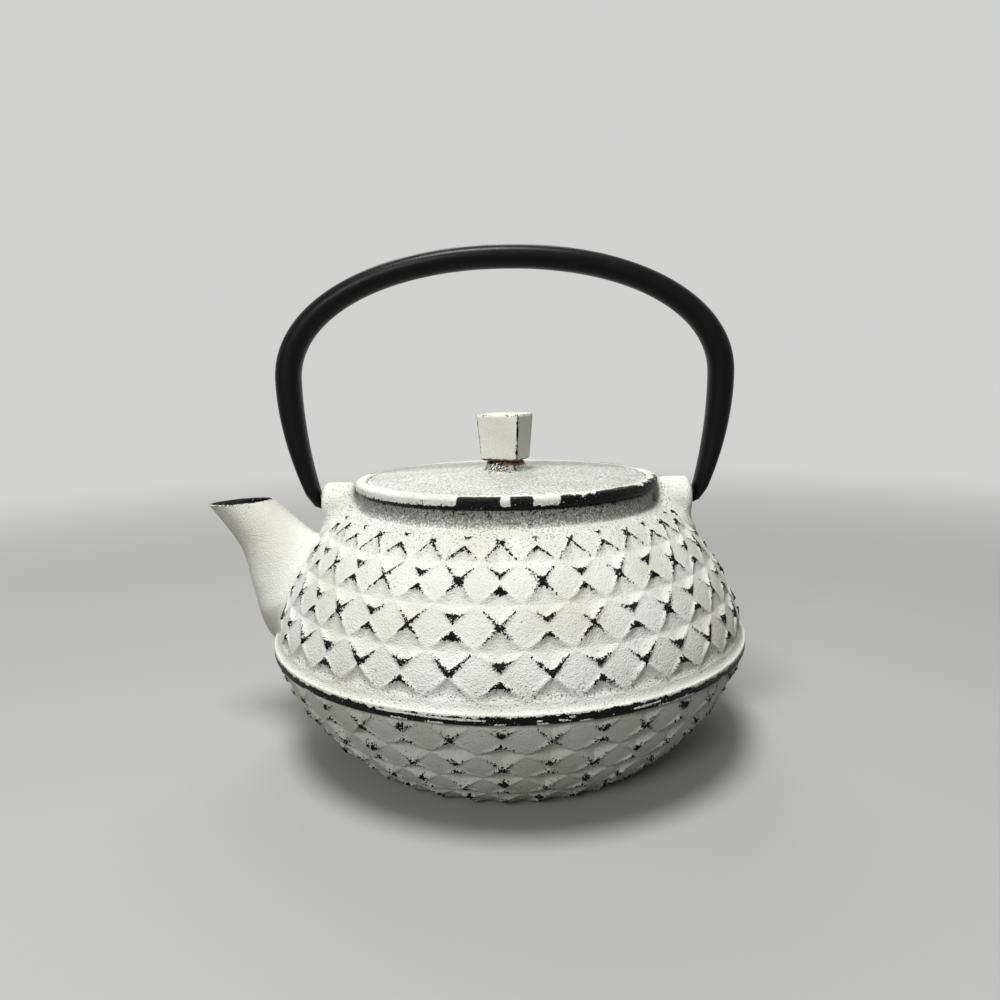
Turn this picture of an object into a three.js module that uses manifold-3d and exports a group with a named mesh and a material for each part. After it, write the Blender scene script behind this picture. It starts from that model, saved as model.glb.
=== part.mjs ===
// Enamelled cast-iron teapot with a swinging bail handle, a lift-off lid and a lift-out tea basket.
// Millimetres, +Z up. The origin is where the pot's axis meets the plane that it stands on.
// The spout points along -X, and the front of the pot faces -Y.
import * as THREE from "three";
import { mergeVertices } from "three/addons/utils/BufferGeometryUtils.js";
import Module from "manifold-3d";

// Driving dimensions of the pot
const waistRadius = 73.6; // the plain body, where the bowl meets the shoulder
const baseRadius = 45.8; // the flat that the pot stands on
const baseChamfer = 1.2;
const bowlTop = 35; // underside of the waist flange
const bowlFullness = 1.37; // superellipse exponent of the bowl's side
const flangeReach = 1.4; // of the flange beyond the plain body
const flangeThickness = 3;
const flangeRound = 0.8;
const shoulderHeight = 39.5; // from the top of the flange to the foot of the collar
const shoulderFullness = 1.5;
const collarRadius = 46.3;
const collarHeight = 4.9;
const collarEdge = 0.4; // bevel of the collar's top
const collarFootRise = 0.3; // of the collar's straight side above its foot
const flangeRise = 1; // of the hollow above the flange, along the shoulder
const wall = 3.4;
const floorThickness = 4.2;

// Driving dimensions of the relief: columns of hollow diamonds that touch at their side corners
const columns = 36;
const frontColumnAngle = -1.9; // degrees from the -Y axis
const upperRows = 4;
const lowerRows = 4;
const upperPitch = 11.6; // along the surface, from row to row
const lowerPitch = 10.9;
const upperFirstRow = 8.5; // along the surface, from the flange to the nearest row
const lowerFirstRow = 5.2;
const crestHeight = 0.75;
const dishDepth = 0.65;
const tipGap = 3; // between the tips of two diamonds that don't meet
const reliefToCollar = 0.5; // along the surface
const reliefToFlange = 0.4; // along the bowl

// Driving dimensions of the spout: sections run from its front edge to its back edge
const mouthReach = 21.8; // of the mouth's tip beyond the flange
const mouthHeight = 78.4;
const mouthLength = 21;
const mouthRise = 1.3; // the back of the mouth above its tip
const mouthWidth = 14.4;
const spoutStand = 8.1; // of the spout's straight front beyond the flange
const spoutThroatHeight = 50;
const rootWidth = 31;
const rootLow = 24;
const rootTop = 66.5; // where the back of the spout meets the shoulder
const rootSink = 7; // of the spout's foot inside the plain body
const rootDepth = 22; // of the spout's back edge inside the plain body
const rootRise = 5; // of the back edge's foot above the front edge's
const frontShare = 0.45; // of the way to the throat, where the front edge is shaped
const neckShare = 0.5; // of the height from throat to mouth, where the front edge is shaped
const neckLean = 0.28; // share of the neck's reach that it has there
const backShare = 0.55; // of the way up the back edge to the shoulder, where it starts to lean
const backSink = 5; // of the back edge inside the shoulder
const backDrop = 4.5; // of the back edge under the place where it comes out
const backRise = 0.36; // share of the back edge's rise beyond the shoulder, where it is shaped
const backLean = 0.4; // share of its reach that it has there
const widestShare = 0.4; // of the spout's length, where its full width ends
const rootStart = 0.25; // share of a quarter wave, at which the width starts
const rootSwell = 1.9; // quarter waves that the width would grow along the whole spout
const neckTaper = 1.9; // exponent of the width towards the mouth
const spoutWall = 2.8;
const lipThickness = 1.5;
const lipShare = 0.6; // of the spout's length, where its wall starts to thin
const mouthCut = 3; // of the bore past the mouth
const boreFloor = 40;

// Driving dimensions of the lugs and the bail
const lugOuter = 59;
const lugToLid = 0.6; // between the lug and the lid's rim, seen from above
const lugUpright = 1; // of the lug's length, at its inner end
const lugSink = 16; // of the lug's foot below the collar's foot
const lugCrown = 5.6; // of the lug above the pivot
const lugWidth = 13.5;
const lugEdge = 3.8; // rounding of the lug's rim, across it
const lugEdgeDepth = 2; // rounding of the lug's rim, along the pegs
const lugFlare = 0.9; // of the lug where it runs into the shoulder
const pivotHeight = 79;
const pegRadius = 2.3;
const pegLength = 9;
const runningGap = 0.3; // between pieces that turn or lift
const bailTop = 157.6;
const bailHalfSpan = 72.3;
const bailBend = 117; // height at which the arch turns into the legs
const bailFullness = 2.1;
const archShare = 0.6; // of the way from the crown to a leg's tip
const legInnerEase = 2; // exponents of the leg's two edges as they close in
const legOuterEase = 1.95;
const legEndBlunt = 0.2; // leaves the leg's tip a narrow flat
const barSquareness = 0.8; // exponent of the bar's section, which is an ellipse at 1
const crownThickness = 7.2;
const shoulderThickness = 7.9;
const legEndThickness = 4.4;
const crownWidth = 9.6;
const legEndWidth = 8.2;
const legTip = 2.7; // of the leg below the pivot

// Driving dimensions of the lid and its knob
const lidRadius = 47.9;
const lidRimHeight = 3.2;
const lidRimRound = 1.1;
const lidGroove = 0.6;
const lidGrooveInset = 3.6;
const grooveHalfWidth = 0.9;
const domeStart = 0.1; // of the dome's edge above the rim
const domeInset = 1; // of the dome's edge inside the groove
const lidDome = 1.4;
const skirtDepth = 4.6;
const skirtThickness = 1.8;
const skirtGap = 2.7; // between the skirt and the basket's rim
const lidRecess = 1.7; // of the lid's underside inside the skirt
const neckHeight = 3.4;
const neckFootRadius = 6.9;
const neckTopRadius = 6;
const neckFilletWidth = 0.9;
const neckFilletHeight = 0.7;
const ventRadius = 1.2;
const ventDistance = 22;
const ventAngle = 9.7; // degrees from +X
const knobHeight = 14.7;
const knobTopSide = 14;
const knobFootSide = 12.2;
const knobCorner = 0.9;
const knobBevel = 0.5;
const knobTurn = -21; // degrees about the pot's axis
const screwRadius = 1.7;
const screwGrip = 8; // length inside the knob
const screwHoleEnd = 1; // of the knob's hole beyond the screw
const screwHeadRadius = 3.8;
const screwHeadHeight = 2;
const screwHeadSide = 0.55; // share of the head's height that is straight
const screwHeadTurn = 0.92; // share of the head's radius where its dome turns
const screwHeadFlat = 0.6; // share of the head's radius that is flat
const screwBevel = 0.6;
const washerRadius = 5.2;
const washerThickness = 1;

// Driving dimensions of the tea basket
const seatWidth = 3; // of the ledge inside the collar
const seatDepth = 2.1; // of the ledge below the collar's top
const collarWall = 3.7;
const rimThickness = 0.9;
const basketGap = 0.9; // between the basket and the ledge
const basketDepth = 46;
const meshThickness = 0.7;
const hoopHeight = 3.5;
const hoopThickness = 0.8;
const rimTurn = 1.6; // of the basket's rim below its flange
const rimBevel = 0.8;
const sieveDish = 1.2;

// Facets
const sideSteps = 2 * columns;
const spoutSides = 20;
const spoutSteps = 12;
const barSides = 12;
const barSteps = 24;
const turnedSides = 48;
const cutReach = 1; // of a body that cuts, past the face that it opens

const wasm = await Module();
wasm.setup();

// Closed meshes and booleans

const solidOf = (geometry) => {
  const bare = geometry.clone();
  bare.deleteAttribute("normal");
  bare.deleteAttribute("uv");
  const merged = mergeVertices(bare, 1e-4);
  return new wasm.Manifold(
    new wasm.Mesh({
      numProp: 3,
      vertProperties: new Float32Array(merged.attributes.position.array),
      triVerts: new Uint32Array(merged.index.array),
    }),
  );
};

const geometryOf = (solid) => {
  const mesh = solid.getMesh();
  const geometry = new THREE.BufferGeometry();
  const points = new Float32Array(mesh.vertProperties);
  const corners = new Uint32Array(mesh.triVerts);
  geometry.setAttribute("position", new THREE.BufferAttribute(points, 3));
  geometry.setIndex(new THREE.BufferAttribute(corners, 1));
  return geometry;
};

// A surface that is gathered point by point and face by face.
class Skin {
  points = [];
  faces = [];

  point(x, y, z) {
    return this.points.push(x, y, z) / 3 - 1;
  }

  // Joins corners that run counterclockwise, seen from outside, to a middle point.
  fan(middle, corners) {
    corners.forEach((corner, i) => this.faces.push(middle, corner, corners[(i + 1) % corners.length]));
  }

  // Joins two rings of as many points, the first above or inside the second, seen from outside.
  band(upper, lower) {
    upper.forEach((_, i) => {
      const next = (i + 1) % upper.length;
      this.faces.push(lower[i], lower[next], upper[next], lower[i], upper[next], upper[i]);
    });
  }

  // Joins a row of rings, each to the one after it.
  bands(rings) {
    rings.slice(1).forEach((ring, i) => this.band(rings[i], ring));
  }

  get geometry() {
    const geometry = new THREE.BufferGeometry();
    geometry.setAttribute("position", new THREE.Float32BufferAttribute(this.points, 3));
    geometry.setIndex(this.faces);
    return geometry;
  }
}

// A body through rings of points, closed by a fan at each end.
function loft(rings, firstMiddle, lastMiddle) {
  const skin = new Skin();
  const placed = rings.map((ring) => ring.map((p) => skin.point(p.x, p.y, p.z)));
  skin.bands(placed);
  skin.fan(skin.point(...firstMiddle), placed[0]);
  skin.fan(skin.point(...lastMiddle), placed.at(-1).slice().reverse());
  return skin.geometry;
}

function centreOf(ring) {
  const sum = ring.reduce((total, p) => total.add(p), new THREE.Vector3());
  return sum.divideScalar(ring.length).toArray();
}

// A turned body from a profile of [radius, height] pairs that closes on itself or ends on the axis.
function turned(profile, sides = turnedSides) {
  const points = profile.map(([r, z]) => new THREE.Vector2(r, z));
  return new THREE.LatheGeometry(points, sides).rotateX(Math.PI / 2);
}

function ring(inner, outer, low, high, sides = turnedSides) {
  return turned([[inner, low], [outer, low], [outer, high], [inner, high], [inner, low]], sides);
}

const rodAlongX = (radius, from, to, y, z) =>
  new THREE.CylinderGeometry(radius, radius, to - from, 20)
    .rotateZ(Math.PI / 2)
    .translate((from + to) / 2, y, z);

const mix = THREE.MathUtils.lerp;
const radians = THREE.MathUtils.degToRad;

// The pot's outline: two superellipse quarters that meet at the flange

const flangeRadius = waistRadius + flangeReach;
const flangeTop = bowlTop + flangeThickness;
const collarFoot = flangeTop + shoulderHeight;
const collarTop = collarFoot + collarHeight;

// A quarter of a superellipse from its wide end (0) to its narrow end (1).
const quarter = (wideR, wideZ, narrowR, narrowZ, fullness) => (t) => {
  const angle = (t * Math.PI) / 2;
  return [
    narrowR + (wideR - narrowR) * Math.cos(angle) ** (2 / fullness),
    wideZ + (narrowZ - wideZ) * Math.sin(angle) ** (2 / fullness),
  ];
};

// The same curve walked by its length, with the direction that faces out of the pot.
function walked(curve) {
  const samples = Array.from({ length: 801 }, (_, i) => curve(i / 800));
  const lengths = [0];
  samples.slice(1).forEach(([r, z], i) => {
    lengths.push(lengths[i] + Math.hypot(r - samples[i][0], z - samples[i][1]));
  });
  const total = lengths.at(-1);
  const at = (distance) => {
    const s = THREE.MathUtils.clamp(distance, 0, total);
    const i = Math.min(Math.max(lengths.findIndex((l) => l >= s), 1), lengths.length - 1);
    const share = (s - lengths[i - 1]) / (lengths[i] - lengths[i - 1]);
    const [r0, z0] = samples[i - 1];
    const [r1, z1] = samples[i];
    return [mix(r0, r1, share), mix(z0, z1, share)];
  };
  const outward = (distance) => {
    const [r0, z0] = at(distance - 0.5);
    const [r1, z1] = at(distance + 0.5);
    const length = Math.hypot(r1 - r0, z1 - z0);
    const turn = Math.sign(z1 - z0);
    return [(turn * (z1 - z0)) / length, (-turn * (r1 - r0)) / length];
  };
  return { at, outward, total };
}

const shoulder = walked(quarter(waistRadius, flangeTop, collarRadius, collarFoot, shoulderFullness));
const bowl = walked(quarter(waistRadius, bowlTop, baseRadius, 0, bowlFullness));

const shoulderRadiusAt = (z) => {
  const share = THREE.MathUtils.clamp((z - flangeTop) / shoulderHeight, 0, 1);
  const reach = (1 - share ** shoulderFullness) ** (1 / shoulderFullness);
  return collarRadius + (waistRadius - collarRadius) * reach;
};

// Angle of a half step round the pot. Even steps lie on the columns, odd ones between them.
const stepAngle = (step) => radians(frontColumnAngle) + (step * Math.PI) / columns - Math.PI / 2;

const plainRing = (skin, radius, z) =>
  Array.from({ length: sideSteps }, (_, step) =>
    skin.point(radius * Math.cos(stepAngle(step)), radius * Math.sin(stepAngle(step)), z),
  );

// The relief. Every column holds a chain of hollow diamonds with raised upper and lower corners, and
// neighbours share their side corners at the level of the plain surface. Down a column the tips of
// two diamonds meet in one crest at every other row, and leave a bridge at the rows between.
// distances holds each row's distance along the wall, from the top down. It returns the rings that
// bound the relief at its top and bottom.
function relief(skin, wallCurve, distances, pitch, top, bottom, meetsFirst) {
  const place = (step, distance, height) => {
    const [r, z] = wallCurve.at(distance);
    const [outR, outZ] = wallCurve.outward(distance);
    const angle = stepAngle(step);
    const radius = r + height * outR;
    return skin.point(radius * Math.cos(angle), radius * Math.sin(angle), z + height * outZ);
  };
  const down = Math.sign(distances[1] - distances[0]);
  const wrap = (column) => (column + columns) % columns;
  const meets = (row, column) => (row + column + (meetsFirst ? 0 : 1)) % 2 === 0;
  const eachColumn = (make) => Array.from({ length: columns }, (_, column) => make(column));

  const between = [
    eachColumn((c) => place(2 * c + 1, top, 0)),
    ...distances.slice(1).map((d) => eachColumn((c) => place(2 * c + 1, d - (down * pitch) / 2, 0))),
    eachColumn((c) => place(2 * c + 1, bottom, 0)),
  ];
  // The points down a column at one row: one crest, or two tips with a bridge between them.
  const tips = distances.map((d, row) =>
    eachColumn((c) =>
      meets(row, c)
        ? [place(2 * c, d, crestHeight)]
        : [
            place(2 * c, d - (down * tipGap) / 2, crestHeight),
            place(2 * c, d, 0),
            place(2 * c, d + (down * tipGap) / 2, crestHeight),
          ],
    ),
  );
  const topEdge = eachColumn((c) => place(2 * c, top, meetsFirst ? 0 : -dishDepth / 2));
  const bottomEdge = eachColumn((c) => place(2 * c, bottom, meetsFirst ? -dishDepth / 2 : 0));

  distances.forEach((d, row) => {
    eachColumn((c) => {
      // The flat between two columns
      skin.fan(place(2 * c + 1, d, 0), [
        between[row][c],
        ...tips[row][c],
        between[row + 1][c],
        ...tips[row][wrap(c + 1)].slice().reverse(),
      ]);
      // The hollow diamond below this row
      if (row < distances.length - 1)
        skin.fan(place(2 * c, d + (down * pitch) / 2, -dishDepth), [
          tips[row][c].at(-1),
          between[row + 1][wrap(c - 1)],
          tips[row + 1][c][0],
          between[row + 1][c],
        ]);
    });
  });
  eachColumn((c) => {
    const left = wrap(c - 1);
    skin.faces.push(between[0][left], tips[0][c][0], topEdge[c]);
    skin.faces.push(tips[0][c][0], between[0][c], topEdge[c]);
    const low = tips.at(-1)[c].at(-1);
    skin.faces.push(low, between.at(-1)[left], bottomEdge[c]);
    skin.faces.push(low, bottomEdge[c], between.at(-1)[c]);
  });
  const woven = (even, odd) => eachColumn((c) => [even[c], odd[c]]).flat();
  return [woven(topEdge, between[0]), woven(bottomEdge, between.at(-1))];
}

// The pot's outside, filled: collar, shoulder, flange, bowl and base
function potOutside() {
  const skin = new Skin();
  const rows = (count, first, pitch) => Array.from({ length: count }, (_, i) => first + i * pitch);
  const upper = rows(upperRows, upperFirstRow, upperPitch).reverse();
  const lower = rows(lowerRows, lowerFirstRow, lowerPitch);
  const upperTop = Math.min(upper[0] + upperPitch / 2, shoulder.total - reliefToCollar);
  const upperBottom = upperFirstRow - upperPitch / 2;
  const lowerBottom = Math.min(lower.at(-1) + lowerPitch / 2, bowl.total - baseChamfer);
  const [aboveTop, aboveBottom] = relief(
    skin, shoulder, upper, upperPitch, upperTop, upperBottom, true,
  );
  const [belowTop, belowBottom] = relief(
    skin, bowl, lower, lowerPitch, reliefToFlange, lowerBottom, false,
  );
  const collar = [
    plainRing(skin, collarRadius - collarEdge, collarTop),
    plainRing(skin, collarRadius, collarTop - collarEdge),
    plainRing(skin, collarRadius, collarFoot + collarFootRise),
  ];
  const rim = [
    plainRing(skin, ...shoulder.at(flangeRise)),
    plainRing(skin, flangeRadius - flangeRound, flangeTop),
    plainRing(skin, flangeRadius, flangeTop - flangeRound),
    plainRing(skin, flangeRadius, bowlTop + flangeRound),
    plainRing(skin, flangeRadius - flangeRound, bowlTop),
  ];
  const foot = plainRing(skin, baseRadius - baseChamfer, 0);
  skin.bands([...collar, aboveTop]);
  skin.bands([aboveBottom, ...rim, belowTop]);
  skin.band(belowBottom, foot);
  skin.fan(skin.point(0, 0, collarTop), collar[0]);
  skin.fan(skin.point(0, 0, 0), foot.slice().reverse());
  return skin.geometry;
}

// The hollow inside, with the ledge that the tea basket hangs on
const seatRadius = collarRadius - collarWall;
const throatRadius = seatRadius - seatWidth;
const seatHeight = collarTop - seatDepth;

function potInside() {
  const waist = waistRadius - wall;
  const upper = quarter(waist, flangeTop, throatRadius, collarFoot - wall, shoulderFullness);
  const lower = quarter(waist, bowlTop, baseRadius - wall, floorThickness, bowlFullness);
  const steps = Array.from({ length: 6 }, (_, i) => i / 5);
  return turned([
    [0, floorThickness],
    ...steps.toReversed().map(lower),
    ...steps.map(upper),
    [throatRadius, seatHeight],
    [seatRadius, seatHeight],
    [seatRadius, collarTop + cutReach],
    [0, collarTop + cutReach],
  ]);
}

// The spout

// The front and the back edge of the spout, and its half width, from the root (0) to the mouth (1).
const spoutThroat = flangeRadius + spoutStand;
const mouthTip = flangeRadius + mouthReach;
const mouthBack = mouthTip - mouthLength;
const mouthTop = mouthHeight + mouthRise;
const spoutFront = new THREE.SplineCurve([
  new THREE.Vector2(waistRadius - rootSink, rootLow),
  new THREE.Vector2(
    flangeRadius + frontShare * spoutStand,
    mix(rootLow, spoutThroatHeight, frontShare),
  ),
  new THREE.Vector2(spoutThroat, spoutThroatHeight),
  new THREE.Vector2(
    mix(spoutThroat, mouthTip, neckLean),
    mix(spoutThroatHeight, mouthHeight, neckShare),
  ),
  new THREE.Vector2(mouthTip, mouthHeight),
]);
const rootTopRadius = shoulderRadiusAt(rootTop);
const spoutBack = new THREE.SplineCurve([
  new THREE.Vector2(waistRadius - rootDepth, rootLow + rootRise),
  new THREE.Vector2(waistRadius - rootDepth, mix(rootLow, rootTop, backShare)),
  new THREE.Vector2(rootTopRadius - backSink, rootTop - backDrop),
  new THREE.Vector2(mix(rootTopRadius, mouthBack, backLean), mix(rootTop, mouthTop, backRise)),
  new THREE.Vector2(mouthBack, mouthTop),
]);

function spoutHalfWidth(t) {
  if (t < widestShare) {
    const wave = Math.min(1, rootStart + rootSwell * t);
    return (rootWidth / 2) * Math.sin((Math.PI / 2) * wave);
  }
  const left = 1 - (t - widestShare) / (1 - widestShare);
  return mix(rootWidth, mouthWidth, 1 - left ** neckTaper) / 2;
}

// Rings of the spout from its mouth down. inset gives the distance inside its outer surface, and
// reach lifts the first ring past the mouth.
function spoutRings(inset, from, reach) {
  return Array.from({ length: spoutSteps + 1 }, (_, i) => {
    const t = mix(1, from, i / spoutSteps);
    const front = spoutFront.getPoint(t);
    const back = spoutBack.getPoint(t);
    const thickness = inset(t);
    const middle = front.clone().add(back).multiplyScalar(0.5);
    const along = front.clone().sub(back);
    const halfLength = along.length() / 2 - thickness;
    along.normalize();
    const halfWidth = spoutHalfWidth(t) - thickness;
    const lift = i === 0 ? reach : 0;
    return Array.from({ length: spoutSides }, (_, side) => {
      const angle = (2 * Math.PI * side) / spoutSides;
      const out = middle.x + along.x * halfLength * Math.cos(angle);
      const z = middle.y + along.y * halfLength * Math.cos(angle) + lift;
      return new THREE.Vector3(-out, -halfWidth * Math.sin(angle), z);
    });
  });
}

function spoutBody(inset, from, reach) {
  const rings = spoutRings(inset, from, reach);
  return loft(rings, centreOf(rings[0]), centreOf(rings.at(-1)));
}

// The lugs: plain ears with a round top, one each side of the collar
const lugInner = lidRadius + lugToLid;
const lugFoot = collarFoot - lugSink;
const lugTop = pivotHeight + lugCrown;

function lug(side) {
  const radius = lugWidth / 2 - lugEdge;
  const straight = lugTop - lugEdge - radius;
  const outline = new THREE.Shape()
    .moveTo(-radius, lugFoot)
    .lineTo(radius, lugFoot)
    .lineTo(radius, straight)
    .absarc(0, straight, radius, 0, Math.PI, false)
    .lineTo(-radius, lugFoot);
  const geometry = new THREE.ExtrudeGeometry(outline, {
    depth: lugOuter - lugInner - 2 * lugEdgeDepth,
    bevelThickness: lugEdgeDepth,
    bevelSize: lugEdge,
    bevelSegments: 4,
    curveSegments: 8,
  });
  // The outline's own x and y become Y and Z, and the depth runs along X.
  geometry
    .rotateX(Math.PI / 2)
    .rotateZ(Math.PI / 2)
    .translate(side > 0 ? lugInner + lugEdgeDepth : -lugOuter + lugEdgeDepth, 0, 0);
  // Below the pivot the lug widens, and leans out all but its inner end
  const position = geometry.attributes.position;
  for (let i = 0; i < position.count; i++) {
    const x = position.getX(i);
    const sunk = Math.max(0, pivotHeight - position.getZ(i)) / (pivotHeight - lugFoot);
    const lean = Math.abs(x) > lugInner + lugUpright ? side * lugFlare * sunk : 0;
    position.setX(i, x + lean);
    position.setY(i, position.getY(i) * (1 + (2 * lugFlare * sunk) / lugWidth));
  }
  return geometry;
}

const flush = () => 0;
const boreInset = (t) => mix(spoutWall, lipThickness, Math.max(0, (t - lipShare) / (1 - lipShare)));
const socketInset = () => -runningGap;

// The share of the spout's length at which its bore starts, above the bore's floor
const boreStart = Array.from({ length: 101 }, (_, i) => i / 100)
  .find((t) => spoutFront.getPoint(t).y >= boreFloor);

// The spout's tube, which ends flush with the pot's hollow.
function spout() {
  const bore = solidOf(spoutBody(boreInset, boreStart, mouthCut));
  const inside = solidOf(potInside());
  return solidOf(spoutBody(flush, 0, 0)).subtract(bore).subtract(inside);
}

// The bowl and the shoulder with the collar and the lugs, which meet under the flange.
function bowlAndShoulder() {
  const holeReach = pegRadius + runningGap;
  let pot = solidOf(potOutside());
  for (const side of [-1, 1]) {
    const ends = [side * (lugInner - cutReach), side * (lugOuter + cutReach)].sort((a, b) => a - b);
    const hole = solidOf(rodAlongX(holeReach, ...ends, 0, pivotHeight));
    pot = pot.add(solidOf(lug(side))).subtract(hole);
  }
  const socket = solidOf(spoutBody(socketInset, 0, 0));
  return pot.subtract(solidOf(potInside())).subtract(socket).splitByPlane([0, 0, 1], bowlTop);
}

// The bail: an arch with two legs, thinner towards the pivots, and a round peg at each end

const legInnerEnd = lugOuter + runningGap + 0.1;

// Outer and inner edge of the bail from the crown (0) to a leg's tip (1), and its half width.
function bailSection(t) {
  return t < archShare ? archSection(t / archShare) : legSection((t - archShare) / (1 - archShare));
}

function archSection(share) {
  const angle = ((1 - share) * Math.PI) / 2;
  const out = Math.cos(angle) ** (2 / bailFullness);
  const up = Math.sin(angle) ** (2 / bailFullness);
  const outerRise = bailTop - bailBend;
  return {
    outer: [bailHalfSpan * out, bailBend + outerRise * up],
    inner: [(bailHalfSpan - shoulderThickness) * out, bailBend + (outerRise - crownThickness) * up],
    halfWidth: crownWidth / 2,
  };
}

function legSection(share) {
  const z = mix(bailBend, pivotHeight - legTip, share);
  const drop = Math.min(1, (bailBend - z) / (bailBend - pivotHeight));
  const inner = mix(bailHalfSpan - shoulderThickness, legInnerEnd, drop ** legInnerEase);
  const outer = mix(bailHalfSpan, legInnerEnd + legEndThickness, drop ** legOuterEase);
  const below = Math.max(0, (pivotHeight + legTip - z) / (2 * legTip + legEndBlunt));
  const rounding = Math.sqrt(1 - below ** 2);
  return {
    outer: [inner + (outer - inner) * rounding, z],
    inner: [inner, z],
    halfWidth: (mix(crownWidth, legEndWidth, drop) / 2) * rounding,
  };
}

function barRing(t, side) {
  const { outer, inner, halfWidth } = bailSection(t);
  const middle = [(outer[0] + inner[0]) / 2, (outer[1] + inner[1]) / 2];
  const half = [(outer[0] - inner[0]) / 2, (outer[1] - inner[1]) / 2];
  const squared = (wave) => Math.sign(wave) * Math.abs(wave) ** barSquareness;
  return Array.from({ length: barSides }, (_, i) => {
    const angle = (2 * Math.PI * (i + 0.5)) / barSides;
    const across = squared(Math.cos(angle));
    const x = side * (middle[0] + half[0] * across);
    const y = halfWidth * squared(Math.sin(angle));
    return new THREE.Vector3(x, y, middle[1] + half[1] * across);
  });
}

function bail() {
  const shares = Array.from({ length: barSteps + 1 }, (_, i) => i / barSteps);
  const rings = [
    ...shares.toReversed().map((t) => barRing(t, -1)),
    ...shares.slice(1).map((t) => barRing(t, 1)),
  ];
  let solid = solidOf(loft(rings, centreOf(rings[0]), centreOf(rings.at(-1))));
  for (const side of [-1, 1]) {
    const ends = [side * (lugOuter - pegLength), side * (legInnerEnd + legEndThickness / 2)];
    ends.sort((a, b) => a - b);
    solid = solid.add(solidOf(rodAlongX(pegRadius, ...ends, 0, pivotHeight)));
  }
  return geometryOf(solid);
}

// The lid

const lidFoot = collarTop + runningGap;
const rimTop = lidFoot + lidRimHeight;
const neckFoot = rimTop + lidDome;
const neckTop = neckFoot + neckHeight;
const basketOuter = throatRadius - basketGap;
const basketInner = basketOuter - meshThickness;
const skirtOuter = basketInner - skirtGap;
const screwHole = screwRadius + runningGap;
const lidUnder = lidFoot + lidRecess;

function lid() {
  const grooveAt = lidRadius - lidGrooveInset;
  const rounding = (middle, start) =>
    Array.from({ length: 4 }, (_, i) => {
      const angle = start + (i * Math.PI) / 6;
      const radius = lidRadius - lidRimRound + lidRimRound * Math.cos(angle);
      return [radius, middle + lidRimRound * Math.sin(angle)];
    });
  const dome = Array.from({ length: 3 }, (_, i) => {
    const share = (i + 1) / 3;
    const radius = mix(grooveAt - domeInset, neckFootRadius + neckFilletWidth, share);
    return [radius, rimTop + lidDome * Math.sin((share * Math.PI) / 2)];
  });
  const plate = turned([
    [screwHole, lidUnder],
    [skirtOuter - skirtThickness - lidRecess, lidUnder],
    [skirtOuter - skirtThickness, lidFoot],
    ...rounding(lidFoot + lidRimRound, -Math.PI / 2),
    ...rounding(rimTop - lidRimRound, 0),
    [grooveAt + grooveHalfWidth, rimTop],
    [grooveAt, rimTop - lidGroove],
    [grooveAt - grooveHalfWidth, rimTop + domeStart],
    ...dome,
    [neckFootRadius, neckFoot + neckFilletHeight],
    [neckTopRadius, neckTop],
    [screwHole, neckTop],
    [screwHole, lidUnder],
  ]);
  const turn = radians(ventAngle);
  const ventDepth = 2 * (rimTop - lidUnder + lidDome + cutReach);
  const vent = new THREE.CylinderGeometry(ventRadius, ventRadius, ventDepth, 16)
    .rotateX(Math.PI / 2)
    .translate(ventDistance * Math.cos(turn), ventDistance * Math.sin(turn), rimTop);
  return geometryOf(solidOf(plate).subtract(solidOf(vent)));
}

// The knob: a four-sided post, wider at its top, with rounded corners
const knobFoot = neckTop + runningGap;

function knob() {
  const corner = (side, inset, z) => {
    const reach = side / 2 - knobCorner;
    return Array.from({ length: 20 }, (_, i) => {
      const quarterTurn = Math.floor(i / 5) * (Math.PI / 2);
      const angle = -(quarterTurn + ((i % 5) / 4) * (Math.PI / 2));
      const cx = reach * Math.SQRT2 * Math.cos(-(quarterTurn + Math.PI / 4));
      const cy = reach * Math.SQRT2 * Math.sin(-(quarterTurn + Math.PI / 4));
      const radius = knobCorner - inset;
      return new THREE.Vector3(cx + radius * Math.cos(angle), cy + radius * Math.sin(angle), z);
    }).reverse();
  };
  const top = knobFoot + knobHeight;
  const rings = [
    corner(knobTopSide, knobBevel, top),
    corner(knobTopSide, 0, top - knobBevel),
    corner(knobFootSide, 0, knobFoot + knobBevel),
    corner(knobFootSide, knobBevel, knobFoot),
  ];
  const post = loft(rings, [0, 0, top], [0, 0, knobFoot]);
  const hole = ring(0, screwHole, knobFoot - cutReach, knobFoot + screwGrip + screwHoleEnd, 24);
  return geometryOf(solidOf(post).subtract(solidOf(hole))).rotateZ(radians(knobTurn));
}

const washerTop = lidUnder - runningGap;
const screwHeadTop = washerTop - washerThickness - runningGap;

function screw() {
  const low = screwHeadTop - screwHeadHeight;
  const sideFoot = screwHeadTop - screwHeadHeight * screwHeadSide;
  const tip = knobFoot + screwGrip;
  const profile = [
    [0, low],
    [screwHeadRadius * screwHeadFlat, low],
    [screwHeadRadius * screwHeadTurn, (low + sideFoot) / 2],
    [screwHeadRadius, sideFoot],
    [screwHeadRadius, screwHeadTop],
    [screwRadius, screwHeadTop],
    [screwRadius, tip - screwBevel],
    [screwRadius - screwBevel, tip],
    [0, tip],
  ];
  return turned(profile, 24);
}

// The tea basket

const rimLow = seatHeight + runningGap;
const rimHigh = rimLow + rimThickness;
const basketFloor = rimHigh - basketDepth;

function basketRim() {
  const lip = seatRadius - runningGap;
  return turned([
    [basketInner, rimLow - rimTurn],
    [basketOuter, rimLow - rimTurn],
    [basketOuter, rimLow],
    [lip, rimLow],
    [lip, rimHigh],
    [basketInner + rimBevel, rimHigh],
    [basketInner, rimHigh - rimBevel],
    [basketInner, rimLow - rimTurn],
  ]);
}

// The gauze sleeve, as the thin wall that it fills.
function basketWall() {
  const low = basketFloor + hoopHeight + runningGap;
  return ring(basketInner, basketOuter, low, rimLow - rimTurn - runningGap);
}

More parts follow.
